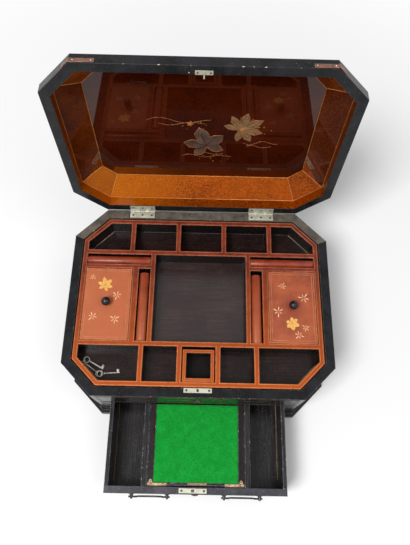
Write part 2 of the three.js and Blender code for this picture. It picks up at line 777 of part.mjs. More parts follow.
function makeDrawerFront(drawer) {
  const board = block([-drawerHalf, drawerHalf], [-halfDepth, drawerInnerFront], [drawerFloor, drawerTop]);
  const posts = [];
  const holes = [];
  for (const [, sign] of pairs) {
    for (const [, end] of pairs) {
      const x = sign * bailOffset + end * bailSpacing / 2;
      const postY = [-halfDepth - postLength, -halfDepth + joinInto];
      posts.push(rodAlongY(x, postY, bailZ, postRadius, rodSides));
      const holeX = [x - postRadius - cutPast, x + postRadius + cutPast];
      holes.push(rodAlongX(holeX, bailY, bailZ, bailRadius + fitGap, rodSides));
    }
  }
  const lockY = -halfDepth + drawerFrontThickness / 2;
  const pocket = lockPocket(drawerLockOffset, lockY, drawerTop, 0);
  piece(drawer, "drawer_front", cut(joined(board, ...posts), ...holes, ...pocket), blackLacquer);
}

function makeDrawerBox(drawer) {
  makeDrawerFront(drawer);
  const inner = drawerHalf - drawerSideThickness;
  const z = [drawerFloor, drawerTop];
  const between = [drawerInnerFront, drawerBackFront];
  const floorTop = drawerFloor + drawerBottomThickness;
  const back = block([-drawerHalf, drawerHalf], [drawerBackFront, drawerBack], z);
  piece(drawer, "drawer_back", back, darkWood);
  piece(drawer, "drawer_bottom", block([-inner, inner], between, [drawerFloor, floorTop]), darkWood);
  const partitionTop = drawerTop - partitionDrop;
  const ledgeTop = flapTop - flapThickness;
  const partitionOuter = partitionInner + partitionThickness;
  for (const [side, sign] of pairs) {
    piece(drawer, `drawer_side_${side}`, block(mirrored(sign, inner, drawerHalf), between, z), darkWood);
    const wall = block(mirrored(sign, partitionInner, partitionOuter), between, [floorTop, partitionTop]);
    const ledgeX = mirrored(sign, partitionInner - partitionLedgeWidth, partitionInner + joinInto);
    const ledge = block(ledgeX, between, [ledgeTop - partitionLedgeHeight, ledgeTop]);
    piece(drawer, `drawer_partition_${side}`, joined(wall, ledge), darkWood);
  }
}

function makeDrawerLock(drawer) {
  const centreY = -halfDepth + drawerFrontThickness / 2;
  const throat = drawerBoltWidth + 2 * fitGap;
  const drawerLock = lock(drawerLockOffset, centreY, drawerTop, throat, throat, drawerBoltHeight);
  piece(drawer, "drawer_lock", drawerLock, silverMetal);
  const high = drawerTop - fitGap;
  const boltDepth = lockSlotDepth / 2 - fitGap;
  const bolt = block(
    [drawerLockOffset - drawerBoltWidth / 2, drawerLockOffset + drawerBoltWidth / 2],
    [centreY - boltDepth, centreY + boltDepth],
    [high - drawerBoltHeight, high],
  );
  piece(drawer, "drawer_lock_bolt", bolt, brass);
}

function makeFlap(drawer) {
  const half = flapWidth / 2;
  const baizeX = [flapSideBorder - half, half - flapSideBorder];
  const baizeY = [flapFront + flapFrontBorder, flapBack];
  const baizeTop = flapTop - baizeDrop;
  const pocketFloor = baizeTop - baizeThickness - fitGap;
  const pocket = block(
    [baizeX[0] - fitGap, baizeX[1] + fitGap],
    [baizeY[0] - fitGap, baizeY[1] + cutPast],
    [pocketFloor, flapTop + cutPast],
  );
  const board = block([-half, half], [flapFront, flapBack], [flapTop - flapThickness, flapTop]);
  piece(drawer, "writing_flap", cut(board, pocket), darkWood);
  const cloth = block(baizeX, baizeY, [baizeTop - baizeThickness, baizeTop]);
  piece(drawer, "writing_flap_baize", cloth, baize);
  const rodHalf = partitionInner - fitGap;
  const rodZ = flapTop - rodBelowFlapTop;
  const rod = rodAlongX([-rodHalf, rodHalf], rodY, rodZ, rodRadius, rodSides);
  piece(drawer, "flap_rod", rod, brass);
}

// Drop handle whose two ends pass through the posts.
function bailGeometry() {
  const post = bailSpacing / 2;
  const arm = post - postRadius - bailEndPlay;
  const foot = arm - bailShoulder - bailTaper;
  const half = [
    [post + bailTip, 0],
    [post, 0],
    [arm, 0],
    [arm - bailShoulder, -bailShoulder / 2],
    [foot + bailTaper / 2, -bailDrop / 2],
    [foot, bailCorner - bailDrop],
    [foot - bailCorner, -bailDrop],
  ];
  const other = half.map(([x, z]) => [-x, z]).reverse();
  const points = [...half, ...other].map(([x, z]) => new THREE.Vector3(x, 0, z));
  const path = new THREE.CatmullRomCurve3(points);
  const section = new THREE.Shape();
  section.absarc(0, 0, bailRadius, 0, 2 * Math.PI);
  const options = { steps: bailSteps, extrudePath: path, curveSegments: domeSteps };
  return new THREE.ExtrudeGeometry(section, options);
}

function makeBails(drawer) {
  for (const [side, sign] of pairs) {
    const bail = piece(drawer, `bail_${side}`, bailGeometry(), silverMetal);
    bail.position.set(sign * bailOffset, bailY, bailZ);
  }
}

function makeDrawer(parent) {
  const drawer = new THREE.Group();
  drawer.position.y = -drawerOut;
  parent.add(drawer);
  makeDrawerBox(drawer);
  makeDrawerLock(drawer);
  makeFlap(drawer);
  makeBails(drawer);
}

const workBox = new THREE.Group();
makeCase(workBox);
makeCaseHinges(workBox);
makeLidLock(workBox);
makeEscutcheon(workBox);
makeLid(workBox);
makeTray(workBox);
makeDrawer(workBox);

export default workBox;
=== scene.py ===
import json
import math

import bmesh
import bpy
from mathutils import Matrix, Vector
from mathutils.geometry import tessellate_polygon


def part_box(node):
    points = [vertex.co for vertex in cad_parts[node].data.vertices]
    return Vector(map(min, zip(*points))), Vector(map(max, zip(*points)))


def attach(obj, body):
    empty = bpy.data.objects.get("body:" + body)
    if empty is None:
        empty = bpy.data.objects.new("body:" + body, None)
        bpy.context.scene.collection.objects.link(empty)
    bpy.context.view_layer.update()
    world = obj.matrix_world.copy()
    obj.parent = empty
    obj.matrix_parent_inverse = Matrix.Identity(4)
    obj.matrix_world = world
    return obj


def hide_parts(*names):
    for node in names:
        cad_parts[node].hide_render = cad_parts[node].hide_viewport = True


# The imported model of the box, with its bodies and joints. Every piece below is placed from it.
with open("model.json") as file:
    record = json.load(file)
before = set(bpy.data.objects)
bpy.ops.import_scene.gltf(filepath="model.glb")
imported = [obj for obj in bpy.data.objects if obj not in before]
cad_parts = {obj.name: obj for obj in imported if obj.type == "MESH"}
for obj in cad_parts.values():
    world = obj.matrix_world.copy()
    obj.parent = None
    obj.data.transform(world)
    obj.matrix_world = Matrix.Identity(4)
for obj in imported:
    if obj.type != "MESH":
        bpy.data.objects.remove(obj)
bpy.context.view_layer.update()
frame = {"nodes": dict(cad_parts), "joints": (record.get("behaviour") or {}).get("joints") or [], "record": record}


# Camera, held by hand over the drawer and looking steeply down into the open box. It leans a
# little to one side, as the photograph does.
camera_place = Vector((0.0024, -0.2444, 0.8507))
camera_down = math.radians(68.38)
camera_turn = math.radians(0.89)
camera_lean = math.radians(2.08)
camera_data = bpy.data.cameras.new("camera")
camera_data.sensor_fit = "VERTICAL"
camera_data.sensor_height = 36
camera_data.lens = 34.4
camera_data.shift_y = 0.003
ahead = Vector((
    math.sin(camera_turn) * math.cos(camera_down),
    math.cos(camera_turn) * math.cos(camera_down),
    -math.sin(camera_down),
))
level = Vector((math.cos(camera_turn), -math.sin(camera_turn), 0))
upright = level.cross(ahead)
aside = math.cos(camera_lean) * level + math.sin(camera_lean) * upright
above = math.cos(camera_lean) * upright - math.sin(camera_lean) * level
camera = bpy.data.objects.new("camera", camera_data)
camera_facing = Matrix((aside, above, -ahead)).transposed().to_4x4()
camera.matrix_world = Matrix.Translation(camera_place) @ camera_facing
bpy.context.scene.collection.objects.link(camera)
bpy.context.scene.camera = camera


# Case: eight pine boards mitred round a moulded plinth and lacquered black all over. Hands and
# years have rubbed the lacquer brown along its edges and chipped it here and there.
def paint(red, green, blue):
    """Colour as a painter's chart gives it, 0 to 255, in the values that a shader takes."""
    parts = [part / 255 for part in (red, green, blue)]
    return tuple(p / 12.92 if p < 0.04 else ((p + 0.055) / 1.055) ** 2.4 for p in parts) + (1.0,)


def feed(tree, socket, value):
    """Links an input to another node's output, or sets it to a value."""
    if isinstance(value, bpy.types.NodeSocket):
        tree.links.new(value, socket)
    else:
        socket.default_value = value


def fed(tree, node, **values):
    """A node, once its inputs are fed by name."""
    for name, value in values.items():
        feed(tree, node.inputs[name.replace("_", " ")], value)
    return node


def add(tree, kind, settings=None, **values):
    """New node with its settings, and with its inputs fed by name."""
    node = tree.nodes.new(kind)
    for name, value in (settings or {}).items():
        setattr(node, name, value)
    return fed(tree, node, **values)


def reckoned(tree, kind, operation, *values):
    """New math node, with its inputs fed in their order."""
    node = add(tree, kind, {"operation": operation})
    for socket, value in zip(node.inputs, values):
        feed(tree, socket, value)
    return node


def new_effect(name, inputs, outputs):
    """Empty node group with named sockets, and its two end nodes."""
    effect = bpy.data.node_groups.new(name, "ShaderNodeTree")
    for way, sockets in (("INPUT", inputs), ("OUTPUT", outputs)):
        for label, kind in sockets:
            effect.interface.new_socket(label, in_out=way, socket_type="NodeSocket" + kind)
    return effect, effect.nodes.new("NodeGroupInput"), effect.nodes.new("NodeGroupOutput")


def end_with_mix(effect, given, result, share, first, second, value):
    """Effect that puts out a mix of two of its given colours, and a value beside it."""
    mixed = add(effect, "ShaderNodeMixRGB", Fac=share, Color1=given.outputs[first],
                Color2=given.outputs[second])
    effect.links.new(mixed.outputs["Color"], result.inputs[0])
    effect.links.new(value, result.inputs[1])
    return effect


def cloud_effect():
    """Slow, soft change from one colour to another, as hand-brushed lacquer has."""
    inputs = [("Vector", "Vector"), ("Ground", "Color"), ("Cloud", "Color"), ("Scale", "Float")]
    outputs = [("Color", "Color"), ("Mask", "Float")]
    effect, given, result = new_effect("brushed_clouds", inputs, outputs)
    noise = add(effect, "ShaderNodeTexNoise", Vector=given.outputs["Vector"],
                Scale=given.outputs["Scale"], Detail=5.0, Roughness=0.6)
    mask = add(effect, "ShaderNodeMapRange", Value=noise.outputs["Fac"], From_Min=0.38, From_Max=0.64)
    share = mask.outputs["Result"]
    return end_with_mix(effect, given, result, share, "Ground", "Cloud", share)


def handling_effect(ripple_fineness=9):
    """Unevenness of polish, with the faint ripple of the brush as a height."""
    inputs = [("Vector", "Vector"), ("Scale", "Float"), ("Smooth", "Float"), ("Rough", "Float")]
    outputs = [("Roughness", "Float"), ("Height", "Float")]
    effect, given, result = new_effect("handling", inputs, outputs)
    where, scale = given.outputs["Vector"], given.outputs["Scale"]
    wiped = add(effect, "ShaderNodeTexNoise", Vector=where, Scale=scale, Detail=6.0, Roughness=0.7)
    spread = add(effect, "ShaderNodeMapRange", Value=wiped.outputs["Fac"], From_Min=0.35, From_Max=0.68,
                 To_Min=given.outputs["Smooth"], To_Max=given.outputs["Rough"])
    finer = reckoned(effect, "ShaderNodeMath", "MULTIPLY", scale, ripple_fineness)
    brushed = add(effect, "ShaderNodeTexNoise", Vector=where, Scale=finer.outputs["Value"], Detail=3.0)
    effect.links.new(spread.outputs["Result"], result.inputs["Roughness"])
    effect.links.new(brushed.outputs["Fac"], result.inputs["Height"])
    return effect


def fleck_effect():
    """Small flecks of a second colour: dust, gold powder, chips and pores."""
    inputs = [("Vector", "Vector"), ("Color", "Color"), ("Fleck", "Color"), ("Scale", "Float"),
              ("Threshold", "Float")]
    effect, given, result = new_effect("flecks", inputs, [("Color", "Color"), ("Mask", "Float")])
    noise = add(effect, "ShaderNodeTexNoise", Vector=given.outputs["Vector"],
                Scale=given.outputs["Scale"], Detail=2.0, Roughness=0.5)
    above_it = reckoned(effect, "ShaderNodeMath", "SUBTRACT", noise.outputs["Fac"],
                        given.outputs["Threshold"])
    mask = add(effect, "ShaderNodeMapRange", Value=above_it.outputs["Value"], From_Min=0.0,
               From_Max=0.05)
    share = mask.outputs["Result"]
    return end_with_mix(effect, given, result, share, "Color", "Fleck", share)


def grain_effect():
    """Long streaks of wood grain, drawn out along the direction that Stretch makes small."""
    inputs = [("Vector", "Vector"), ("Color", "Color"), ("Streak", "Color"), ("Stretch", "Vector")]
    effect, given, result = new_effect("grain", inputs, [("Color", "Color"), ("Height", "Float")])
    drawn = reckoned(effect, "ShaderNodeVectorMath", "MULTIPLY", given.outputs["Vector"],
                     given.outputs["Stretch"])
    noise = add(effect, "ShaderNodeTexNoise", Vector=drawn.outputs["Vector"], Scale=1.0, Detail=6.0,
                Roughness=0.65)
    mask = add(effect, "ShaderNodeMapRange", Value=noise.outputs["Fac"], From_Min=0.4, From_Max=0.66)
    return end_with_mix(effect, given, result, mask.outputs["Result"], "Color", "Streak",
                        noise.outputs["Fac"])


def painted_shading_effect():
    """Painted light and shade: an even change to a second colour, lighter or darker, from one place to another,
    where the lamps light a surface more at one end than the other.
    """
    inputs = [("Vector", "Vector"), ("Color", "Color"), ("Faded", "Color"), ("Start", "Vector"),
              ("Way", "Vector")]
    effect, given, result = new_effect("painted_shading", inputs, [("Color", "Color"), ("Mask", "Float")])
    gone = reckoned(effect, "ShaderNodeVectorMath", "SUBTRACT", given.outputs["Vector"],
                    given.outputs["Start"])
    along = reckoned(effect, "ShaderNodeVectorMath", "DOT_PRODUCT", gone.outputs["Vector"],
                     given.outputs["Way"])
    mask = add(effect, "ShaderNodeMapRange", Value=along.outputs["Value"], To_Max=0.75)
    share = mask.outputs["Result"]
    return end_with_mix(effect, given, result, share, "Color", "Faded", share)


brushed_clouds = cloud_effect()
painted_shading = painted_shading_effect()
handling = handling_effect()
flecks = fleck_effect()
grain = grain_effect()


def placed(tree, effect, where, **values):
    """An effect in one material, with that material's own values."""
    return add(tree, "ShaderNodeGroup", {"node_tree": effect}, Vector=where, **values)


def finish(name, ground, cloud, size, rough, metal=0.0, coat=0.0, coat_rough=0.05, shine=0.5,
           relief=0.00002, streak=None, stretch=None, fleck=None, fleck_size=0.001,
           fleck_threshold=0.65, shading_colour=None, shading_ends=None):
    """Material of one finish. Sizes are in metres, and rough is the smoothest and the roughest.

    A shading colour takes the ground's place on the way from the first place in shading_ends to the second. This
    is painted light and shade, for a surface that the lamps light more at one end.
    """
    material = bpy.data.materials.new(name)
    material.use_nodes = True
    tree = material.node_tree
    shader = fed(tree, tree.nodes["Principled BSDF"], Metallic=metal, Specular_IOR_Level=shine,
                 Coat_Weight=coat, Coat_Roughness=coat_rough)
    where = tree.nodes.new("ShaderNodeTexCoord").outputs["Object"]
    coloured = placed(tree, brushed_clouds, where, Ground=paint(*ground), Cloud=paint(*cloud),
                      Scale=1 / size)
    # Painted light and shade: a gradient to the shading colour.
    if shading_colour:
        way = Vector(shading_ends[1]) - Vector(shading_ends[0])
        coloured = placed(tree, painted_shading, where, Color=coloured.outputs["Color"], Faded=paint(*shading_colour),
                          Start=shading_ends[0], Way=way / way.length_squared)
    if streak:
        coloured = placed(tree, grain, where, Color=coloured.outputs["Color"],
                          Streak=paint(*streak), Stretch=stretch)
    if fleck:
        coloured = placed(tree, flecks, where, Color=coloured.outputs["Color"], Fleck=paint(*fleck),
                          Scale=1 / fleck_size, Threshold=fleck_threshold)
    handled = placed(tree, handling, where, Scale=3 / size, Smooth=rough[0], Rough=rough[1])
    bump = add(tree, "ShaderNodeBump", Strength=0.6, Distance=relief, Height=handled.outputs["Height"])
    fed(tree, shader, Base_Color=coloured.outputs["Color"], Roughness=handled.outputs["Roughness"],
        Normal=bump.outputs["Normal"])
    return material


def make_piece(name, form, finishes, body):
    """Named piece from a bmesh, which moves with its body."""
    bmesh.ops.recalc_face_normals(form, faces=form.faces)
    data = bpy.data.meshes.new(name)
    form.to_mesh(data)
    form.free()
    for material in finishes:
        data.materials.append(material)
    piece = bpy.data.objects.new(name, data)
    bpy.context.scene.collection.objects.link(piece)
    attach(piece, body)
    return piece


cad = frame["nodes"]
record = frame["record"]
home = {node: body for body, members in record["behaviour"]["bodies"].items() for node in members}
weld = 0.000001
flat_angle = math.radians(1.5)
hard_angle = math.radians(32)
crease_angle = math.radians(34)


def eased(node, finishes, ease, choose=None, rounded=False, leave=None, reshape=None):
    """Finished copy of a node with its hard edges taken off. The last finish is the edges' own."""
    form = bmesh.new()
    form.from_mesh(cad[node].data)
    bmesh.ops.remove_doubles(form, verts=form.verts, dist=weld)
    bmesh.ops.dissolve_limit(form, angle_limit=flat_angle, verts=form.verts, edges=form.edges)
    if reshape:
        for vert in form.verts:
            vert.co = reshape(vert.co)
    form.normal_update()
    hard = []
    for edge in form.edges:
        if not edge.is_manifold or edge.calc_face_angle(0) < hard_angle:
            continue
        if leave and leave(edge):
            continue
        hard.append(edge)
    edge_finish = len(finishes) - 1
    bmesh.ops.bevel(form, geom=hard, offset=ease, segments=2, profile=0.5, affect="EDGES",
                    clamp_overlap=True, material=edge_finish if edge_finish else -1)
    form.normal_update()
    for face in form.faces:
        if edge_finish and face.material_index == edge_finish:
            face.smooth = True
            continue
        face.smooth = rounded
        if choose:
            face.material_index = choose(face.calc_center_median(), face.normal)
    if rounded:
        for edge in form.edges:
            edge.smooth = not edge.is_manifold or edge.calc_face_angle(0) < crease_angle
    piece = make_piece("finished_" + node, form, finishes, home[node])
    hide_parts(node)
    return piece


def refinish(node, material):
    """Better material on a node whose shape is right as it is."""
    for material_slot in cad[node].material_slots:
        material_slot.material = material


rim_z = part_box("back_board")[1].z
rim_depth = 0.006
upward = 0.9
inward_share = 0.02
side_turn = 45
mitre_margin = 5
level_share = 0.1
pocket_reach = 0.021


def faces_inward(centre, normal):
    """One for a board's inner face, and nought for its other faces."""
    return 1 if normal.xy.dot(centre.xy) < -inward_share * centre.xy.length else 0


def back_faces(centre, normal):
    """As faces_inward, and two for a rim top at the back, worn pale under the hinges."""
    return 2 if normal.z > upward and centre.z > rim_z - rim_depth else faces_inward(centre, normal)


def at_mitre(edge):
    """Whether an edge bounds a mitre, where two boards meet without a visible joint."""
    for face in edge.link_faces:
        turn = math.degrees(math.atan2(face.normal.y, face.normal.x)) % side_turn
        standing = abs(face.normal.z) < level_share
        if standing and mitre_margin < turn < side_turn - mitre_margin:
            return True
    return False


def at_mitre_or_pocket(edge):
    """As at_mitre, and also an edge of the pockets that the lid lock and the drawer's bolt fill."""
    return at_mitre(edge) or all(abs(vert.co.x) < pocket_reach for vert in edge.verts)


black_lacquer = finish("black_lacquer", (9, 11, 15), (31, 32, 36), 0.024, (0.14, 0.3), shine=0.18,
                       fleck=(86, 84, 84), fleck_size=0.0014, fleck_threshold=0.67)
rubbed_edge = finish("rubbed_edge", (26, 24, 24), (84, 68, 54), 0.006, (0.35, 0.6), shine=0.3,
                     fleck=(186, 174, 158), fleck_size=0.003, fleck_threshold=0.65)
dusty_rim = finish("dusty_rim", (104, 96, 84), (66, 60, 54), 0.012, (0.4, 0.6), shine=0.3,
                   fleck=(140, 130, 114), fleck_size=0.0016, fleck_threshold=0.64)
bare_inside = finish("bare_inside", (28, 23, 21), (44, 37, 33), 0.02, (0.45, 0.65), shine=0.3,
                     streak=(60, 52, 46), stretch=(40, 40, 500))
board_ease = 0.0007
plinth_ease = 0.0006
bottom_ease = 0.0003
eased("front_rail", [black_lacquer, bare_inside, rubbed_edge], board_ease, faces_inward,
      leave=at_mitre_or_pocket)
for board in ("front_corner_left", "front_corner_right", "left_board", "right_board"):
    eased(board, [black_lacquer, bare_inside, rubbed_edge], board_ease, faces_inward, leave=at_mitre)
for board in ("back_corner_left", "back_corner_right", "back_board"):
    eased(board, [black_lacquer, bare_inside, dusty_rim, rubbed_edge], board_ease, back_faces,
          leave=at_mitre)
eased("plinth", [black_lacquer, rubbed_edge], plinth_ease)
eased("bottom_board", [black_lacquer, rubbed_edge], bottom_ease)
# Painted highlight: the rounded back edge of the rim, under the hinges, is pale grey-brown where it catches the
# light.
back_edge_highlight = finish("back_edge_highlight", (120, 114, 104), (92, 84, 76), 0.02, (0.4, 0.6), shine=0.3,
                      fleck=(146, 138, 124), fleck_size=0.0016, fleck_threshold=0.64)


def round_turns(steps):
    """Angles of even steps all round."""
    return [2 * math.pi * step / steps for step in range(steps)]


def band(form, low, high, finish_index=0, smooth=False):
    """Adds the faces between two rings of as many corners."""
    for step in range(len(low)):
        after = (step + 1) % len(low)
        face = form.faces.new((low[step], low[after], high[after], high[step]))
        face.smooth = smooth
        face.material_index = finish_index


joint_of = {joint["name"]: joint for joint in frame["joints"]}
lid_hinge = joint_of["lid_hinge"]
hinge_axis = Vector(lid_hinge["pos_m"])
nosing_radius = 0.00185
nosing_sides = 20
nosing_short = 0.001
hinge_gap = 0.0003
back_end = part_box("back_board")[1].x - nosing_short
left_hinge, right_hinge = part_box("hinge_case_leaf_left"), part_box("hinge_case_leaf_right")
stretches = [(-back_end, left_hinge[0].x - hinge_gap),
             (left_hinge[1].x + hinge_gap, right_hinge[0].x - hinge_gap),
             (right_hinge[1].x + hinge_gap, back_end)]
nosing_form = bmesh.new()
for stretch in stretches:
    rings = []
    for x in stretch:
        rings.append([nosing_form.verts.new((x, hinge_axis.y + nosing_radius * math.cos(turn),
                                             hinge_axis.z + nosing_radius * math.sin(turn)))
                      for turn in round_turns(nosing_sides)])
        nosing_form.faces.new(rings[-1])
    band(nosing_form, *rings, smooth=True)
make_piece("rounded_back_edge", nosing_form, [back_edge_highlight], "case")


# Gold on the outside of the case: a raised border line round each board and a sprig of leaves,
# drawn in lacquer and dusted with gold powder.
half_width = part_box("right_board")[1].x
half_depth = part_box("back_board")[1].y
drawer_bay_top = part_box("front_rail")[0].z
bottom_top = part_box("bottom_board")[1].z
corner_cut = 0.044
border_inset = 0.006
border_gap = 0.002
raised_line = 0.00022
leaf_rise = 0.00015
sprig_start, sprig_end = (0.22, -0.018), (0.8, 0.012)
sprig_bow = 0.12
sprig_twigs = ((4, (0.02, -0.018), 0.2), (8, (0.012, 0.02), -0.2))
twig_points = 6
canted_leaves = ((0.01, 1.2), (-0.018, -0.6))
long_side = 0.1
case_leaf_size = 0.011
case_leaf_share = 0.16
least_leaf = 0.4


def octagon(inset):
    """Plan outline of the case, set in from its outer face, anticlockwise from the front left."""
    w = half_width - inset
    d = half_depth - inset
    c = corner_cut - inset * (2 - math.sqrt(2))
    return [Vector(p) for p in ((c - w, -d), (w - c, -d), (w, c - d), (w, d - c),
                                (w - c, d), (c - w, d), (-w, d - c), (-w, c - d))]


def drawn_lines(name, paths, radius, material, body, closed=True):
    """Raised lines along paths of points, half sunk in the surface that they lie on."""
    curve = bpy.data.curves.new(name, "CURVE")
    curve.dimensions = "3D"
    curve.bevel_depth = radius
    curve.bevel_resolution = 1
    for path in paths:
        spline = curve.splines.new("POLY")
        spline.points.add(len(path) - 1)
        for point, place in zip(spline.points, path):
            point.co = (*place, 1)
        spline.use_cyclic_u = closed
    curve.materials.append(material)
    lines = bpy.data.objects.new(name, curve)
    bpy.context.scene.collection.objects.link(lines)
    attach(lines, body)
    return lines


side_lobe_loss = 0.3
foot_share = 0.7
stalk_share = 0.1


def leaf_outline(at, length, turn, lobes, notch, spread, slim):
    """Outline of a maple leaf with pointed lobes. Its stalk points away from turn, in radians."""
    points = []
    step = spread / (lobes - 1)
    middle = (lobes - 1) / 2
    for lobe in range(lobes):
        angle = turn + (lobe - middle) * step
        reach = length * (1 - side_lobe_loss * abs(lobe - middle) / middle)
        points.append((angle - step / 2, reach * notch))
        points.append((angle - step * slim, reach * (notch + 1) / 2))
        points.append((angle, reach))
        points.append((angle + step * slim, reach * (notch + 1) / 2))
    points.append((turn + (middle + 0.5) * step, length * notch * foot_share))
    points.append((turn + math.pi, length * stalk_share))
    return [Vector((at[0] + reach * math.cos(angle), at[1] + reach * math.sin(angle)))
            for angle, reach in points]


def laid(place, points, height=0.0):
    """Flat points moved to a surface, or to a height above it."""
    return [place @ Vector((p.x, p.y, height)) for p in points]


def flat_shapes(name, outlines, place, rise, material, body):
    """Thin flat shapes that stand out of a surface by their rise, and are sunk in it as far."""
    form = bmesh.new()
    for outline in outlines:
        low = [form.verts.new(point) for point in laid(place, outline, -rise)]
        high = [form.verts.new(point) for point in laid(place, outline, rise)]
        form.faces.new(high)
        form.faces.new(low[::-1])
        band(form, low, high)
    form.normal_update()
    bmesh.ops.triangulate(form, faces=[face for face in form.faces if len(face.verts) > 4])
    return make_piece(name, form, [material], body)


def on_side(side):
    """Place on an outer face of the case: x runs along the side from its start, and y up."""
    outline = octagon(0)
    start = outline[side]
    along = outline[(side + 1) % 8] - start
    length = along.length
    x = Vector((along.x, along.y, 0)) / length
    y = Vector((0, 0, 1))
    turned = Matrix((x, y, x.cross(y))).transposed().to_4x4()
    return Matrix.Translation((start.x, start.y, 0)) @ turned, length


def rectangle(x, y):
    """Corners of a rectangle, anticlockwise."""
    return [Vector((x[0], y[0])), Vector((x[1], y[0])), Vector((x[1], y[1])), Vector((x[0], y[1]))]


def stem(start, end, bow, count=14):
    """Points of a bowed line between two places."""
    start, end = Vector(start), Vector(end)
    across = Vector((start.y - end.y, end.x - start.x)) * bow
    shares = [index / (count - 1) for index in range(count)]
    return [start.lerp(end, s) + across * math.sin(math.pi * s) for s in shares]


case_gold = finish("case_gold", (96, 80, 60), (58, 48, 40), 0.008, (0.35, 0.5), metal=0.3, shine=0.2,
                   fleck=(22, 20, 20), fleck_size=0.002, fleck_threshold=0.58)
case_top = rim_z - border_inset
for side in range(8):
    place, length = on_side(side)
    low = drawer_bay_top if side == 0 else bottom_top
    borders = []
    for inset in (border_inset, border_inset + border_gap):
        border = rectangle((inset, length - inset), (low + inset, case_top + border_inset - inset))
        borders.append(laid(place, border))
    drawn_lines(f"case_border_{side}", borders, raised_line, case_gold, "case")
    middle = (low + case_top) / 2
    squat = (case_top - low) / (case_top - bottom_top)
    sprig = stem((length * sprig_start[0], middle + sprig_start[1] * squat),
                 (length * sprig_end[0], middle + sprig_end[1] * squat), sprig_bow * squat)
    branches = []
    for joint, reach, bow in sprig_twigs:
        foot = sprig[joint]
        branches.append(stem(foot, (foot.x + reach[0], foot.y + reach[1] * squat), bow, twig_points))
    size = min(case_leaf_size, length * case_leaf_share) * (least_leaf + (1 - least_leaf) * squat)
    ends = [(sprig[-1], 0.6), (branches[0][-1], -1.0), (branches[1][-1], 1.2), (sprig[6], 2.2)]
    if length > long_side:
        drawn_lines(f"case_stems_{side}", [laid(place, line) for line in [sprig] + branches],
                    raised_line, case_gold, "case", closed=False)
    else:
        ends = [(Vector((length / 2, middle + rise)), turn) for rise, turn in canted_leaves]
    leaves = [leaf_outline(at, size, turn, lobes=7, notch=0.25, spread=5.2, slim=0.2)
              for at, turn in ends]
    flat_shapes(f"case_leaves_{side}", leaves, place, leaf_rise, case_gold, "case")


# Inside of the case: the dust board over the drawer, the ledge that carries the tray, and the
# drawer's guides, all of thin pine stained dark.
dark_wood = finish("dark_wood", (44, 36, 33), (62, 53, 50), 0.035, (0.42, 0.62), streak=(34, 27, 25),
                   stretch=(22, 420, 420), fleck=(104, 98, 94), fleck_size=0.0012, fleck_threshold=0.72)
for part in ("dust_board", "tray_ledge", "drawer_guide_left", "drawer_guide_right"):
    refinish(part, dark_wood)


# Lid lock: an iron box lock let into the front rail, with a plated strip flush with the rim, a
# slot for the lid's hook, and a brass bolt. An oval keyhole plate is pinned on outside.
def turned(form, profile, place, sides=24, finish_index=0):
    """Adds a turned form from a profile of (radius, height), which starts and ends on its axis."""
    rows = []
    for radius, height in profile:
        turns = round_turns(sides) if radius else [0]
        circle = [Vector((radius * math.cos(turn), radius * math.sin(turn))) for turn in turns]
        rows.append([form.verts.new(point) for point in laid(place, circle, height)])
    for low, high in zip(rows, rows[1:]):
        for side in range(sides):
            after = (side + 1) % sides
            if len(low) == 1:
                corners = (low[0], high[side], high[after])
            elif len(high) == 1:
                corners = (low[side], low[after], high[0])
            else:
                corners = (low[side], low[after], high[after], high[side])
            face = form.faces.new(corners)
            face.smooth = True
            face.material_index = finish_index


def bar(form, place, x, y, z, finish_index=0):
    """Adds a small block with its limits along each axis of a place."""
    low, high = [[form.verts.new(point) for point in laid(place, rectangle(x, y), height)]
                 for height in z]
    for end in (high, low[::-1]):
        form.faces.new(end).material_index = finish_index
    band(form, low, high, finish_index)


screw_radius = 0.0017
screw_rise = 0.0001
screw_slot = 0.00032
screw_sides = 20
slot_share = 0.86
first_slot_turn = 0.7
slot_turn_step = 1.9


def screws(name, places, body, radius=screw_radius):
    """Countersunk slotted screws. Each place is on the plate, with its z axis out of it."""
    form = bmesh.new()
    for count, place in enumerate(places):
        profile = [(0, -screw_rise), (radius, -screw_rise), (radius, screw_rise / 2),
                   (radius * 0.8, screw_rise), (0, screw_rise * 1.15)]
        turned(form, profile, place, screw_sides)
        aimed = place @ Matrix.Rotation(first_slot_turn + slot_turn_step * count, 4, "Z")
        reach = radius * slot_share
        # The slot is a dark bar a hair proud of the head: painted shade, not a cut.
        bar(form, aimed, (-reach, reach), (-screw_slot / 2, screw_slot / 2), (0, screw_rise * 1.3), 1)
    return make_piece(name, form, [screw_metal, painted_slot_shade], body)


plated_metal = finish("plated_metal", (188, 187, 170), (168, 165, 148), 0.008, (0.46, 0.6), metal=0.5,
                      fleck=(122, 116, 98), fleck_size=0.0016, fleck_threshold=0.7)
plate_edge = finish("plate_edge", (186, 184, 166), (150, 146, 128), 0.004, (0.45, 0.6), metal=0.5)
screw_metal = finish("screw_metal", (96, 90, 72), (66, 62, 50), 0.002, (0.4, 0.55), metal=0.6)
shadow_metal = finish("shadow_metal", (88, 84, 76), (58, 54, 48), 0.004, (0.4, 0.6), metal=0.5)
# Painted shade: a thin dark layer on a screw head or keyhole plate stands for the shade down in a slot or hole
# that is not cut.
painted_slot_shade = finish("painted_slot_shade", (26, 22, 20), (44, 38, 34), 0.001, (0.6, 0.8))
old_brass = finish("old_brass", (200, 160, 88), (150, 110, 56), 0.004, (0.25, 0.45), metal=1.0,
                   fleck=(86, 62, 36), fleck_size=0.001, fleck_threshold=0.64)
old_steel = finish("old_steel", (222, 214, 200), (176, 164, 146), 0.006, (0.22, 0.4), metal=0.6,
                   fleck=(92, 70, 56), fleck_size=0.0012, fleck_threshold=0.64)


def below_plate(edge):
    """Whether an edge of a lock lies lower than the rim of its plate."""
    return any(vert.co.z < edge_plate_top - plate_rim for vert in edge.verts)


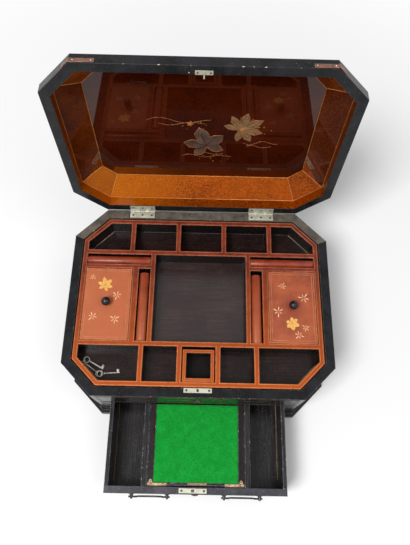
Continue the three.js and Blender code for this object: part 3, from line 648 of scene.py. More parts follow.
plate_rim = 0.0001
plate_ease = 0.00025
escutcheon_ease = 0.0003
edge_plate_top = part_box("lid_lock")[1].z
eased("lid_lock", [plated_metal, plate_edge], plate_ease, leave=below_plate)
refinish("lid_lock_bolt", old_brass)
eased("front_escutcheon", [shadow_metal, plated_metal], escutcheon_ease, rounded=True)
lock_low, lock_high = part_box("lid_lock")
lock_y = (lock_low.y + lock_high.y) / 2
lock_screw_x = 0.0155
pin_radius = 0.0008
pin_inset = 0.0025
screws("lid_lock_screws",
       [Matrix.Translation((sign * lock_screw_x, lock_y, rim_z)) for sign in (-1, 1)], "case")
escutcheon_low, escutcheon_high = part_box("front_escutcheon")
pin_heights = (escutcheon_low.z + pin_inset, escutcheon_high.z - pin_inset)
face_front = Matrix.Rotation(math.pi / 2, 4, "X")
screws("escutcheon_pins",
       [Matrix.Translation((0, escutcheon_low.y, z)) @ face_front for z in pin_heights],
       "case", pin_radius)


# Hinges: two plated butt hinges with five knuckles on a steel pin. Each leaf is let in flush,
# with three slotted screws in a row.
hinge_screw_spacing = 0.0142
hinge_screw_shift = 0.0003
hinge_screw_inset = 0.0046
hinge_screw_radius = 0.0016
lid_opened = math.radians(-lid_hinge["range_deg"][0])
lid_gap = 0.0003
lid_base = rim_z + lid_gap
lid_open = (Matrix.Translation(hinge_axis) @ Matrix.Rotation(lid_opened, 4, Vector(lid_hinge["axis"]))
            @ Matrix.Translation(-hinge_axis))
face_down = Matrix.Rotation(math.pi, 4, "X")
for side in ("left", "right"):
    for leaf in ("case", "lid"):
        node = f"hinge_{leaf}_leaf_{side}"
        eased(node, [plated_metal, plate_edge], plate_ease, rounded=True)
        leaf_low, leaf_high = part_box("hinge_case_leaf_" + side)
        middle = Vector(((leaf_low.x + leaf_high.x) / 2, leaf_low.y + hinge_screw_inset, 0))
        places = []
        for step in (-1, 0, 1):
            shift = hinge_screw_shift * (1 - 2 * abs(step))
            at = middle + Vector((step * hinge_screw_spacing, shift, 0))
            if leaf == "case":
                places.append(Matrix.Translation((at.x, at.y, rim_z)))
            else:
                places.append(lid_open @ Matrix.Translation((at.x, at.y, lid_base)) @ face_down)
        screws(f"hinge_{leaf}_screws_{side}", places, leaf, hinge_screw_radius)
    refinish("hinge_pin_" + side, old_steel)


# Lid: a mitred rim and eight sloping boards round a flat panel, lacquered black outside. Thin
# chips along the front edge show the pale ground under the lacquer.
lid_rim_width = 0.0124
lid_rim_height = 0.0135
lid_wall_height = 0.0153
lid_panel_inset = 0.0422
lid_recess = 0.0364
lid_panel_thickness = 0.006
coat_thickness = 0.00015
coat_inset = 0.0008
lid_ease = 0.0005
lid_edge = finish("lid_edge", (22, 20, 21), (62, 50, 42), 0.008, (0.35, 0.6), shine=0.2,
                  fleck=(104, 88, 74), fleck_size=0.0016, fleck_threshold=0.68)
eased("lid_rim", [black_lacquer, lid_edge], lid_ease)
eased("lid_bevel", [black_lacquer, lid_edge], lid_ease)
slope = (lid_recess - lid_wall_height) / (lid_panel_inset - lid_rim_width)
lid_top = lid_base + lid_recess + lid_panel_thickness
lid_top_inset = (lid_recess + lid_panel_thickness - lid_rim_height - lid_gap) / slope


def octagonal_form(profile, closed):
    """Form with eight sides from a profile of (inset, z). An open one has a flat top and foot."""
    form = bmesh.new()
    rows = [[form.verts.new((p.x, p.y, z)) for p in octagon(inset)] for inset, z in profile]
    pairs = list(zip(rows, rows[1:] + rows[:1])) if closed else list(zip(rows, rows[1:]))
    for step, (low, high) in enumerate(pairs):
        band(form, low, high, step)
    if not closed:
        form.faces.new(rows[-1])
        form.faces.new(rows[0][::-1])
    return form


skin = octagonal_form([(lid_top_inset + coat_inset, lid_top),
                       (lid_top_inset + coat_inset, lid_top + coat_thickness)], False)
bmesh.ops.transform(skin, matrix=lid_open, verts=skin.verts)
make_piece("lid_top_lacquer", skin, [black_lacquer], "lid")
lid_outside = lid_open @ Matrix.Translation((0, 0, lid_top + coat_thickness))
lid_border_insets = (lid_top_inset + 0.006, lid_top_inset + 0.008)
drawn_lines("lid_top_border", [laid(lid_outside, octagon(inset)) for inset in lid_border_insets],
            raised_line, case_gold, "lid")
lid_stem_line = 0.0003
lid_sprig = stem((-0.075, -0.035), (0.07, 0.03), 0.14, 20)
lid_twigs = [stem(lid_sprig[joint], end, bow, 8)
             for joint, end, bow in ((5, (-0.02, -0.045), -0.2), (9, (-0.03, 0.045), 0.15),
                                     (14, (0.06, -0.01), -0.2))]
drawn_lines("lid_top_stems", [laid(lid_outside, line) for line in [lid_sprig] + lid_twigs],
            lid_stem_line, case_gold, "lid", closed=False)
lid_leaf_places = [(lid_sprig[-1], 0.021, 0.5), (lid_twigs[0][-1], 0.017, -0.7),
                   (lid_twigs[1][-1], 0.019, 1.9), (lid_twigs[2][-1], 0.014, -0.3),
                   (lid_sprig[3], 0.012, 2.6)]
lid_top_leaves = [leaf_outline(at, size, turn, lobes=7, notch=0.3, spread=4.9, slim=0.22)
                  for at, size, turn in lid_leaf_places]
flat_shapes("lid_top_leaves", lid_top_leaves, lid_outside, leaf_rise, case_gold, "lid")

chalk = finish("chalk", (222, 214, 200), (186, 174, 156), 0.002, (0.7, 0.9))
chips = [(-0.0867, 0.0, 0.0008), (-0.049, 0.0, 0.0017), (-0.0145, 0.0, 0.0007), (0.0418, 0.0, 0.0016),
         (0.0534, 0.0, 0.0009), (0.0664, 0.0, 0.0016), (-0.0164, 0.0098, 0.0014), (0.104, 0.0, 0.0006)]
chip_corners = 7
chip_rise = 0.0001
chip_from_edge = 0.0002
chip_length = 1.3
chip_depth = 0.95
chip_form = bmesh.new()
for count, (x, inward, radius) in enumerate(chips):
    seats = [(Matrix.Translation((x, inward - half_depth, lid_base)) @ face_down, -1)]
    if inward == 0:
        seats.append((Matrix.Translation((x, -half_depth, lid_base)) @ face_front, 1))
    for row, (seat, way) in enumerate(seats):
        edge = chip_from_edge - inward
        ring = []
        for corner, angle in enumerate(round_turns(chip_corners)):
            reach = radius * (0.75 + 0.35 * math.sin(3.7 * corner + 2.3 * count + row))
            away = max(edge, reach * chip_depth * math.sin(angle))
            ring.append(Vector((reach * chip_length * math.cos(angle), way * away, -chip_rise / 2)))
        hub = sum(ring, Vector()) / chip_corners
        hub.z = chip_rise
        seat = lid_open @ seat
        hub = chip_form.verts.new(seat @ hub)
        ring = [chip_form.verts.new(seat @ point) for point in ring]
        chip_form.faces.new(ring[::-1])
        for corner in range(chip_corners):
            after = (corner + 1) % chip_corners
            chip_form.faces.new((ring[corner], ring[after], hub))
bmesh.ops.remove_doubles(chip_form, verts=chip_form.verts, dist=weld)
make_piece("lid_edge_chips", chip_form, [chalk], "lid")


# Inside of the lid: amber lacquer over sprinkled gold on the wall and the eight slopes, and a
# deep red-brown panel polished like a mirror. Fine gold lines follow each joint.
# Painted light and shade on one amber lacquer: the sides by the hinge are lighter toward the left, under the large
# lamp. The other five take a darker, shaded copy that darkens further to the right.
amber_lacquer = finish("amber_lacquer", (140, 52, 2), (104, 28, 2), 0.05, (0.3, 0.42), metal=0.6,
                       coat=0.2, coat_rough=0.02, shine=0.0, relief=0.00001, fleck=(204, 112, 8),
                       fleck_size=0.0009, fleck_threshold=0.54, shading_colour=(172, 92, 4),
                       shading_ends=((0.0, 0, 0), (-0.13, 0, 0)))
shaded_amber = finish("shaded_amber", (106, 44, 6), (72, 26, 8), 0.03, (0.25, 0.38), metal=0.4,
                      coat=1.0, coat_rough=0.012, shine=0.1, relief=0.00001, fleck=(146, 74, 18),
                      fleck_size=0.0009, fleck_threshold=0.58, shading_colour=(72, 26, 12),
                      shading_ends=((0.0, 0, 0), (0.17, 0, 0)))
panel_lacquer = finish("panel_lacquer", (66, 20, 4), (48, 13, 3), 0.05, (0.12, 0.22), metal=0.1,
                       coat=0.8, coat_rough=0.012, shine=0.0, relief=0.000004, fleck=(88, 30, 8),
                       fleck_size=0.0009, fleck_threshold=0.6)
bright_gold = finish("bright_gold", (214, 150, 78), (176, 108, 46), 0.006, (0.3, 0.42), metal=0.5,
                     fleck=(140, 84, 36), fleck_size=0.0012, fleck_threshold=0.62)
panel_ease = 0.0002
eased("lid_panel", [panel_lacquer, black_lacquer, black_lacquer], panel_ease,
      lambda centre, normal: 0 if normal.y < 0 else 1)
joint_line = 0.0005
lining_thickness = 0.00025
lining_slant = 0.7
lining_foot_gap = 0.0006
lining_start = lid_base + lining_foot_gap
wall_top = lid_base + lid_wall_height
panel_z = lid_base + lid_recess
lining = octagonal_form([
    (lid_rim_width + lining_thickness, lining_start),
    (lid_rim_width + lining_thickness, wall_top - lining_thickness * lining_slant),
    (lid_panel_inset + lining_thickness, panel_z - lining_thickness),
    (lid_panel_inset + lining_thickness, panel_z),
    (lid_panel_inset, panel_z),
    (lid_rim_width, wall_top),
    (lid_rim_width, lining_start),
], True)
# Painted light and shade: the three sides by the hinge take the lit amber, and the rest take the shaded copy.
for count, face in enumerate(lining.faces):
    face.material_index = 0 if count % 8 in (3, 4, 5) else 1
bmesh.ops.transform(lining, matrix=lid_open, verts=lining.verts)
make_piece("lid_lining", lining, [amber_lacquer, shaded_amber], "lid")
wall_line = laid(lid_open, octagon(lid_rim_width + lining_thickness), wall_top - lining_thickness)
panel_line = laid(lid_open, octagon(lid_panel_inset), panel_z - lining_thickness)
drawn_lines("lid_joint_loops", [wall_line, panel_line], joint_line, bright_gold, "lid")
drawn_lines("lid_joint_lines", [list(pair) for pair in zip(wall_line, panel_line)], joint_line,
            bright_gold, "lid", closed=False)


# Picture in the lid: maple leaves drifting on a stream, a common subject of such boxes. The
# leaves are thin gold and silver-gold films with scratched veins, in an arrangement of its own.
lid_inside = (lid_open @ Matrix.Translation((0, 0, panel_z))
              @ Matrix(((1, 0, 0, 0), (0, -1, 0, 0), (0, 0, -1, 0), (0, 0, 0, 1))))
film = 0.00008
leaf_edge_line = 0.00042
gold_vein_line = 0.00022
red_vein_line = 0.0006
stream_line = 0.00026
grey_gold = finish("grey_gold", (142, 116, 84), (104, 76, 50), 0.012, (0.3, 0.45), metal=0.4,
                   fleck=(176, 146, 104), fleck_size=0.0012, fleck_threshold=0.58)
dark_silver = finish("dark_silver", (112, 94, 82), (82, 62, 52), 0.014, (0.3, 0.45), metal=0.4,
                     fleck=(140, 122, 108), fleck_size=0.0012, fleck_threshold=0.62)
stream_gold = finish("stream_gold", (172, 112, 68), (136, 80, 44), 0.006, (0.35, 0.5), metal=0.3)
vein_red = finish("vein_red", (74, 16, 10), (54, 12, 8), 0.004, (0.3, 0.5), shine=0.2)
large_at, large_turn, large_size = Vector((0.004, -0.03)), 1.85, 0.037
second_at, second_turn, second_size = Vector((0.05, 0.004)), 0.55, 0.034
large_leaf = leaf_outline(large_at, large_size, large_turn, lobes=5, notch=0.52, spread=4.4, slim=0.3)
second_leaf = leaf_outline(second_at, second_size, second_turn, lobes=7, notch=0.5, spread=4.6,
                           slim=0.3)


def veins(at, turn, length, lobes, spread, share=0.8):
    """Veins from a leaf's foot to the tips of its lobes, as pairs of points."""
    middle = (lobes - 1) / 2
    found = []
    for lobe in range(lobes):
        angle = turn + (lobe - middle) * spread / (lobes - 1)
        reach = length * share * (1 - side_lobe_loss * abs(lobe - middle) / middle)
        found.append([at, at + reach * Vector((math.cos(angle), math.sin(angle)))])
    return found


flat_shapes("lid_leaf_second", [second_leaf], lid_inside, film, grey_gold, "lid")
flat_shapes("lid_leaf_large", [large_leaf], lid_inside, film * 2, dark_silver, "lid")
drawn_lines("lid_leaf_edges",
            [laid(lid_inside, second_leaf, film), laid(lid_inside, large_leaf, film * 2)],
            leaf_edge_line, stream_gold, "lid")
second_veins = veins(second_at, second_turn, second_size, lobes=13, spread=4.4)
large_veins = veins(large_at, large_turn, large_size, lobes=5, spread=3.6, share=0.7)
drawn_lines("lid_leaf_veins_gold", [laid(lid_inside, line, film) for line in second_veins],
            gold_vein_line, bright_gold, "lid", closed=False)
drawn_lines("lid_leaf_veins_red", [laid(lid_inside, line, film * 2) for line in large_veins],
            red_vein_line, vein_red, "lid", closed=False)


def ripple(start, length, height, turns, count=36, calming=0.6):
    """Points of a stream line that runs along, swinging less and less."""
    points = []
    for index in range(count):
        share = index / (count - 1)
        swing = height * math.sin(2 * math.pi * turns * share) * (1 - calming * share)
        points.append(Vector((start[0] + length * share, start[1] + swing)))
    return points


streams = [ripple((-0.075, 0.018), 0.085, 0.006, 1.2), ripple((-0.06, 0.013), 0.062, -0.004, 1.0),
           ripple((-0.03, -0.052), 0.07, 0.0035, 1.6), ripple((0.055, -0.022), 0.048, -0.005, 1.3),
           ripple((0.06, -0.03), 0.034, 0.003, 1.1), ripple((-0.012, -0.046), 0.04, 0.003, 1.0)]
drawn_lines("lid_stream_lines", [laid(lid_inside, line) for line in streams], stream_line,
            stream_gold, "lid", closed=False)
small_star = leaf_outline(Vector((-0.018, 0.012)), 0.0065, 1.3, lobes=5, notch=0.35, spread=5.0,
                          slim=0.26)
spray_count = 26
spray_middles = ((0.068, 0.002), (0.02, -0.056), (-0.008, 0.008))
spray_reach = (0.02, 0.008)
spray_turn = 2.4
least_dot, dot_growth = 0.0006, 0.0005
hexagon = [Vector((math.cos(turn), math.sin(turn))) for turn in round_turns(6)]
spray_dots = []
for count in range(spray_count):
    along = count / (spray_count - 1)
    swirl = spray_turn * count
    middle_x, middle_y = spray_middles[count % len(spray_middles)]
    at = Vector((middle_x + spray_reach[0] * math.cos(swirl) * (0.3 + along),
                 middle_y + spray_reach[1] * math.sin(swirl)))
    size = least_dot + dot_growth * ((count * 7) % 5) / 4
    spray_dots.append([at + size * corner for corner in hexagon])
flat_shapes("lid_spray", [small_star] + spray_dots, lid_inside, film, bright_gold, "lid")


# Fittings of the lid: the plated link plate with its hook and two screws, and two copper straps
# bent round the front corners and nailed on over old damage.
strap_copper = finish("strap_copper", (142, 98, 82), (104, 72, 62), 0.005, (0.35, 0.5), metal=0.7,
                      fleck=(186, 158, 142), fleck_size=0.0016, fleck_threshold=0.64)
strap_edge = finish("strap_edge", (176, 140, 124), (132, 98, 84), 0.003, (0.35, 0.45), metal=0.7)
nail_head = finish("nail_head", (226, 214, 204), (190, 172, 158), 0.002, (0.3, 0.4), metal=0.7)
link_ease = 0.0002
eased("lid_link_plate", [plated_metal, plate_edge], link_ease)
link_screw_x = 0.0072
link_screw_radius = 0.0012
screws("link_screws",
       [lid_open @ Matrix.Translation((sign * link_screw_x, lock_y, lid_base)) @ face_down
        for sign in (-1, 1)], "lid", link_screw_radius)
strap_ease = 0.00015
strap_rise = 0.0008
strap_half_height = 0.00275
strap_thickness = 0.0009
strap_middle = lid_base + strap_rise + strap_half_height
nail_steps = (0.0045, 0.0245)
nail_profile = [(0, -0.0003), (0.00085, -0.0003), (0.00085, 0.0001), (0.0005, 0.0004), (0, 0.0005)]
nail_sides = 14
for side, sign in (("left", -1), ("right", 1)):
    eased("corner_strap_" + side, [strap_copper, strap_edge], strap_ease)
    nails = bmesh.new()
    corner_x = sign * (half_width - corner_cut)
    for step in nail_steps:
        nail_at = (corner_x - sign * step, -half_depth - strap_thickness, strap_middle)
        turned(nails, nail_profile, lid_open @ Matrix.Translation(nail_at) @ face_front, nail_sides)
    make_piece("strap_nails_" + side, nails, [nail_head], "lid")


# Tray: one grid of thin boards over a stained floor. The tops are red lacquer with a fine gold
# line round each compartment, and the walls inside are stained dark.
tray_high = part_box("tray_frame")[1]
floor_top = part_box("tray_floor")[1].z
tray_wall = 0.007
divider = 0.007
tray_inset = half_width - tray_high.x
tray_inner_inset = tray_inset + tray_wall
inner_x = half_width - tray_inner_inset
inner_y = half_depth - tray_inner_inset
back_row_depth = 0.044
front_row_depth = 0.0493
back_row_y = (inner_y - back_row_depth, inner_y)
front_row_y = (-inner_y, -inner_y + front_row_depth)
well_x = 0.067
well_y = (front_row_y[1] + divider, back_row_y[0] - divider)
slot_depth = 0.016
slot_width = 0.017
slot_to_box = 0.0067
slot_to_lid = 0.009
slot_y = (well_y[1] - slot_depth, well_y[1])
box_y = (well_y[0], slot_y[0] - slot_to_box)
slot_x = (well_x + divider, well_x + divider + slot_width)
box_x = (slot_x[1] + slot_to_lid, inner_x)
back_cross = (0.0343, 0.1029)
front_cross = (0.027, 0.081)


def offset_loop(points, distance):
    """Anticlockwise loop moved outwards by a distance, or inwards where it is negative."""
    moved = []
    for index, point in enumerate(points):
        before = (point - points[index - 1]).normalized()
        after = (points[(index + 1) % len(points)] - point).normalized()
        first = Vector((before.y, -before.x))
        second = Vector((after.y, -after.x))
        middle = (first + second).normalized()
        moved.append(point + middle * distance / max(0.2, middle.dot(first)))
    return moved


def pierced_slab(outline, openings, z, ease, steps=3):
    """Slab with openings through it and its top edges rounded. Finishes: top, edges, walls."""
    form = bmesh.new()
    lows, highs = [], []
    for loop, way in [(outline, -1)] + [(opening, 1) for opening in openings]:
        rows = [[form.verts.new((p.x, p.y, z[0])) for p in loop]]
        for step in range(steps + 1):
            turn = step / steps * math.pi / 2
            height = z[1] - ease + ease * math.sin(turn)
            moved = offset_loop(loop, way * ease * (1 - math.cos(turn)))
            rows.append([form.verts.new((p.x, p.y, height)) for p in moved])
        for step, (low, high) in enumerate(zip(rows, rows[1:])):
            band(form, low, high, 1 if step else 2, step > 0)
        lows.append(rows[0])
        highs.append(rows[-1])
    for loops, finish_index in ((highs, 0), (lows, 2)):
        corners = [corner for loop in loops for corner in loop]
        for triangle in tessellate_polygon([[corner.co.copy() for corner in loop] for loop in loops]):
            face = form.faces.new([corners[index] for index in triangle])
            face.material_index = finish_index
    return form


def across(sign, low, high):
    """Limits along x at the right of the tray, or mirrored at its left."""
    return (low, high) if sign > 0 else (-high, -low)


def canted_cell(sign, x, y, at_back):
    """Compartment at a canted corner of the tray, anticlockwise, for the right and then mirrored."""
    corners = octagon(tray_inner_inset)
    side_point, end_point = (corners[3], corners[4]) if at_back else (corners[2], corners[1])
    near, far = y if at_back else y[::-1]
    points = [Vector((x, near)), Vector((inner_x, near)), side_point, end_point, Vector((x, far))]
    if not at_back:
        points.reverse()
    if sign < 0:
        points = [Vector((-p.x, p.y)) for p in reversed(points)]
    return points


half = divider / 2
rows = (("back", back_cross, back_row_y), ("front", front_cross, front_row_y))
beside_well = (("slot_back", (slot_x[0], inner_x), slot_y), ("slot_side", slot_x, box_y),
               ("box", box_x, box_y))
cells = {
    "back_middle": rectangle((-back_cross[0] + half, back_cross[0] - half), back_row_y),
    "well": rectangle((-well_x, well_x), well_y),
    "front_middle": rectangle((-front_cross[0] + half, front_cross[0] - half), front_row_y),
}
for side, sign in (("left", -1), ("right", 1)):
    for row, cross, y in rows:
        cells[f"{row}_{side}"] = rectangle(across(sign, cross[0] + half, cross[1] - half), y)
    for row, cross, y in rows:
        cells[f"{row}_corner_{side}"] = canted_cell(sign, cross[1] + half, y, row == "back")
    for cell, x, y in beside_well:
        cells[f"{cell}_{side}"] = rectangle(across(sign, *x), y)
# Painted light: the red tops, their rounded edges and the gold lines turn lighter and more orange toward the
# front. The lamps light the front more than the back, which lies under the open lid.
lighter_to_front = ((0, 0.05, 0), (0, -0.12, 0))
red_top = finish("red_top", (134, 52, 30), (96, 32, 16), 0.016, (0.3, 0.42), shine=0.2, relief=0.00003,
                 shading_colour=(188, 84, 20), shading_ends=lighter_to_front, fleck=(160, 80, 44), fleck_size=0.0013,
                 fleck_threshold=0.62)
red_edge = finish("red_edge", (168, 94, 64), (122, 54, 34), 0.008, (0.35, 0.5), shine=0.3,
                  shading_colour=(196, 110, 46), shading_ends=lighter_to_front, fleck=(84, 40, 24), fleck_size=0.002,
                  fleck_threshold=0.62)
stained_wall = finish("stained_wall", (20, 14, 13), (30, 22, 20), 0.02, (0.2, 0.36), shine=0.3,
                      streak=(15, 11, 10), stretch=(25, 25, 500))
stained_floor = finish("stained_floor", (46, 32, 31), (60, 45, 43), 0.04, (0.1, 0.2), shine=0.42,
                       streak=(38, 26, 25), stretch=(18, 380, 380), fleck=(104, 92, 88),
                       fleck_size=0.0012, fleck_threshold=0.7)
# Painted shade: the floors of the small deep compartments are a darker copy of the well's stained floor, for the
# shade down in them. The well has its own floor plate in the lighter copy.
shaded_cell_floor = finish("shaded_cell_floor", (30, 18, 16), (46, 31, 29), 0.02, (0.12, 0.24), shine=0.18,
                    streak=(22, 13, 12), stretch=(18, 380, 380), fleck=(104, 90, 86),
                    fleck_size=0.0013, fleck_threshold=0.67)
line_gold = finish("line_gold", (178, 122, 96), (142, 88, 64), 0.01, (0.35, 0.5), metal=0.2, shine=0.3,
                   shading_colour=(232, 150, 88), shading_ends=lighter_to_front, fleck=(134, 68, 36), fleck_size=0.0014,
                   fleck_threshold=0.6)
top_ease = 0.0006
grid = pierced_slab(octagon(tray_inset), list(cells.values()), (floor_top, tray_high.z), top_ease)
tray_grid = make_piece("tray_grid", grid, [red_top, red_edge, stained_wall], "tray")
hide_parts("tray_frame", "tray_back_dividers", "tray_front_dividers",
            "tray_side_dividers_left", "tray_side_dividers_right")
line_inset = 0.0012
tray_line = 0.00042
on_tray = Matrix.Translation((0, 0, tray_high.z))
gold_lines = [laid(on_tray, offset_loop(cell, line_inset)) for cell in cells.values()]
gold_lines.append(laid(on_tray, octagon(tray_inset + line_inset)))
drawn_lines("tray_gold_lines", gold_lines, tray_line, line_gold, "tray")
refinish("tray_floor", shaded_cell_floor)

on_floor = Matrix.Translation((0, 0, floor_top))
well_gap = 0.0002
well_rise = 0.0003
well_form = bmesh.new()
bar(well_form, on_floor, (-well_x + well_gap, well_x - well_gap),
    (well_y[0] + well_gap, well_y[1] - well_gap), (-well_gap, well_rise))
make_piece("well_floor", well_form, [stained_floor], "tray")
lid_ledge = 0.003
ledge_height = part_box("box_lid_left")[0].z - floor_top
beyond = (box_x[0] + lid_ledge, box_x[1])
strips = (((box_x[0], beyond[0]), box_y), (beyond, (box_y[0], box_y[0] + lid_ledge)),
          (beyond, (box_y[1] - lid_ledge, box_y[1])))
ledges = bmesh.new()
for sign in (-1, 1):
    for x, y in strips:
        bar(ledges, on_floor, across(sign, *x), y, (0, ledge_height))
make_piece("box_ledges", ledges, [stained_wall], "tray")

# Pale lines along the foot of a wall, where a floor meets it.
pale_foot_line = finish("pale_foot_line", (158, 134, 102), (108, 88, 68), 0.006, (0.6, 0.8))
dust_line = finish("dust_line", (84, 78, 76), (44, 38, 37), 0.01, (0.6, 0.8))
worn_radius = 0.0006
dust_radius = 0.0004
slant_margin = 0.001
worn_paths = []
for corner in ("back_corner_left", "back_corner_right", "front_corner_left", "front_corner_right"):
    cell = offset_loop(cells[corner], -worn_radius)
    for first, last in zip(cell, cell[1:] + cell[:1]):
        way = last - first
        if abs(abs(way.x) - abs(way.y)) < slant_margin:
            worn_paths.append(laid(on_floor, (first, last)))
drawn_lines("tray_worn_lines", worn_paths, worn_radius, pale_foot_line, "tray",
            closed=False)
dust_paths = []
for name in ("back_middle", "back_left", "back_right", "back_corner_left", "back_corner_right"):
    far = sorted(cells[name], key=lambda p: p.y)[-2:]
    dust_paths.append(laid(on_floor, [p - Vector((0, dust_radius)) for p in far]))
drawn_lines("tray_dust_lines", dust_paths, dust_radius, dust_line, "tray",
            closed=False)


# Box lids: two loose boards in salmon-red lacquer, each with a thin border line, a scatter of
# gold maple leaves and a small turned ebony knob.
# Painted light: both box lids share this finish. It turns lighter from the right lid to the left one, toward the
# large lamp.
lid_red = finish("lid_red", (170, 86, 52), (138, 62, 44), 0.024, (0.3, 0.44), shine=0.3,
                 shading_colour=(192, 106, 66), shading_ends=((0.15, 0.05, 0), (-0.15, -0.05, 0)), fleck=(200, 124, 84),
                 fleck_size=0.0012, fleck_threshold=0.64)
lid_red_edge = finish("lid_red_edge", (200, 118, 76), (142, 64, 36), 0.006, (0.4, 0.55), shine=0.3)
lid_line = finish("lid_line", (214, 150, 104), (184, 108, 68), 0.008, (0.4, 0.55), shine=0.3)
leaf_gold = finish("leaf_gold", (238, 194, 104), (226, 160, 72), 0.003, (0.35, 0.5), metal=0.3)
pale_gold = finish("pale_gold", (240, 192, 152), (226, 160, 118), 0.002, (0.4, 0.5), metal=0.15)
ebony = finish("ebony", (14, 12, 14), (26, 22, 22), 0.004, (0.12, 0.2), shine=0.4)
lid_leaves = {
    "left": [((-0.139, 0.0185), 0.0142, 1.25, 0.48), ((-0.1205, 0.003), 0.008, 2.4),
             ((-0.153, -0.0295), 0.0078, 1.9), ((-0.1215, -0.0325), 0.0082, 0.5),
             ((-0.1575, 0.031), 0.0056, 3.6)],
    "right": [((0.1325, -0.0325), 0.0122, 5.4, 0.62), ((0.1205, 0.023), 0.0068, 1.1),
              ((0.151, 0.005), 0.0092, 0.9), ((0.114, -0.0165), 0.0092, 2.6),
              ((0.1515, -0.0395), 0.0066, 0.4), ((0.1425, -0.0505), 0.0076, 3.9)],
}
petal_shape = ((0.1, 0.0), (0.4, 0.085), (0.75, 0.11), (1.0, 0.0), (0.75, -0.11), (0.4, -0.085))
petal_lengths = (1.0, 0.72, 0.95, 0.66, 0.85, 0.9)
petal_sway = 0.12


def sprig_petals(at, length, turn):
    """Outlines of the thin petals of one sprig, all round its middle."""
    outlines = []
    for petal, share in enumerate(petal_lengths):
        even = 2 * math.pi * petal / len(petal_lengths)
        angle = turn + even + petal_sway * math.sin(5 * petal + length)
        along = Vector((math.cos(angle), math.sin(angle))) * length * share
        across = Vector((-along.y, along.x))
        outlines.append([Vector(at) + along * far + across * out for far, out in petal_shape])
    return outlines


box_lid_ease = 0.0005
box_lid_insets = (0.0008, 0.004)
box_lid_line = 0.0004
box_lid_vein = 0.0002
gold_rise = 0.0001
knob_neck = 0.0022
knob_steps = 16
knob_sides = 32
for side in ("left", "right"):
    body = f"{side}_box_lid"
    low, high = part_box("box_lid_" + side)
    board = rectangle((low.x, high.x), (low.y, high.y))
    form = pierced_slab(board, [], (low.z, high.z), box_lid_ease)
    lid_board = make_piece("box_lid_board_" + side, form, [lid_red, lid_red_edge, lid_red_edge],
                           body)
    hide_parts("box_lid_" + side)
    on_lid = Matrix.Translation((0, 0, high.z))
    borders = [laid(on_lid, offset_loop(board, -inset)) for inset in box_lid_insets]
    drawn_lines("box_lid_border_" + side, borders, box_lid_line, lid_line, body)
    at, size, turn, notch = lid_leaves[side][0]
    broad_leaf = leaf_outline(at, size, turn, lobes=6, notch=notch, spread=4.9, slim=0.3)
    flat_shapes("box_lid_leaf_" + side, [broad_leaf], on_lid, gold_rise, leaf_gold, body)
    petals = [petal for sprig in lid_leaves[side][1:] for petal in sprig_petals(*sprig)]
    flat_shapes("box_lid_sprigs_" + side, petals, on_lid, gold_rise, pale_gold, body)
    broad_veins = veins(Vector(at), turn, size, lobes=6, spread=4.08, share=0.7)
    drawn_lines("box_lid_veins_" + side, [laid(on_lid, line, gold_rise) for line in broad_veins],
                box_lid_vein, lid_red_edge, body, closed=False)
    knob_low, knob_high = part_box("box_knob_" + side)
    radius = (knob_high.x - knob_low.x) / 2
    ball_centre = knob_high.z - knob_low.z - radius
    start = math.asin(knob_neck / radius)
    profile = [(0, 0), (knob_neck * 1.6, 0), (knob_neck * 1.6, 0.0005), (knob_neck * 1.1, 0.0011),
               (knob_neck, ball_centre - radius * math.cos(start))]
    for step in range(1, knob_steps + 1):
        turn = start + step / knob_steps * (math.pi - start)
        out = 0 if step == knob_steps else radius * math.sin(turn)
        profile.append((out, ball_centre - radius * math.cos(turn)))
    knob_form = bmesh.new()
    at = Vector(((knob_low.x + knob_high.x) / 2, (knob_low.y + knob_high.y) / 2, knob_low.z))
    turned(knob_form, profile, Matrix.Translation(at), knob_sides)
    knob = make_piece("turned_knob_" + side, knob_form, [ebony], body)
    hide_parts("box_knob_" + side)


# Needle cases: four long boxes with domed tops in red lacquer, dropped into the slots beside
# the boxes.
# Painted light: the needle cases turn lighter toward the front, which the lamps light more.
case_red = finish("case_red", (150, 62, 32), (120, 42, 20), 0.02, (0.25, 0.4), shine=0.35,
                  shading_colour=(176, 88, 50), shading_ends=((0, 0.05, 0), (0, -0.06, 0)), fleck=(194, 116, 78),
                  fleck_size=0.0012, fleck_threshold=0.68)
needle_case_ease = 0.0005
for slot in ("back_left", "back_right", "side_left", "side_right"):
    eased("needle_case_" + slot, [case_red, red_edge], needle_case_ease, rounded=True)


# Loose square box: four thin boards with a red top edge and gold lines, dark inside, standing
# in the middle compartment of the front row.
box_low, box_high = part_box("small_box")
box_wall = 0.005
box_floor = 0.004
box_ease = 0.0005
box_line_insets = (0.0013, 0.0037)
box_line = 0.00025
outside = rectangle((box_low.x, box_high.x), (box_low.y, box_high.y))
inside = offset_loop(outside, -box_wall)
walls = pierced_slab(outside, [inside], (box_low.z, box_high.z), box_ease)
small_box = make_piece("loose_box_walls", walls, [red_top, red_edge, stained_wall], "loose_box")
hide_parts("small_box")
floor_form = bmesh.new()
bar(floor_form, Matrix.Translation((0, 0, box_low.z)), (inside[0].x, inside[2].x),
    (inside[0].y, inside[2].y), (0, box_floor))
# Painted shade: the floor inside the loose box is near black, for the shade at the bottom of its deep, narrow
# inside.
shaded_box_floor = finish("shaded_box_floor", (20, 17, 18), (28, 24, 24), 0.01, (0.3, 0.45), shine=0.06)
make_piece("loose_box_floor", floor_form, [shaded_box_floor], "loose_box")
on_box = Matrix.Translation((0, 0, box_high.z))
drawn_lines("loose_box_lines",
            [laid(on_box, offset_loop(outside, -inset)) for inset in box_line_insets],
            box_line, line_gold, "loose_box")


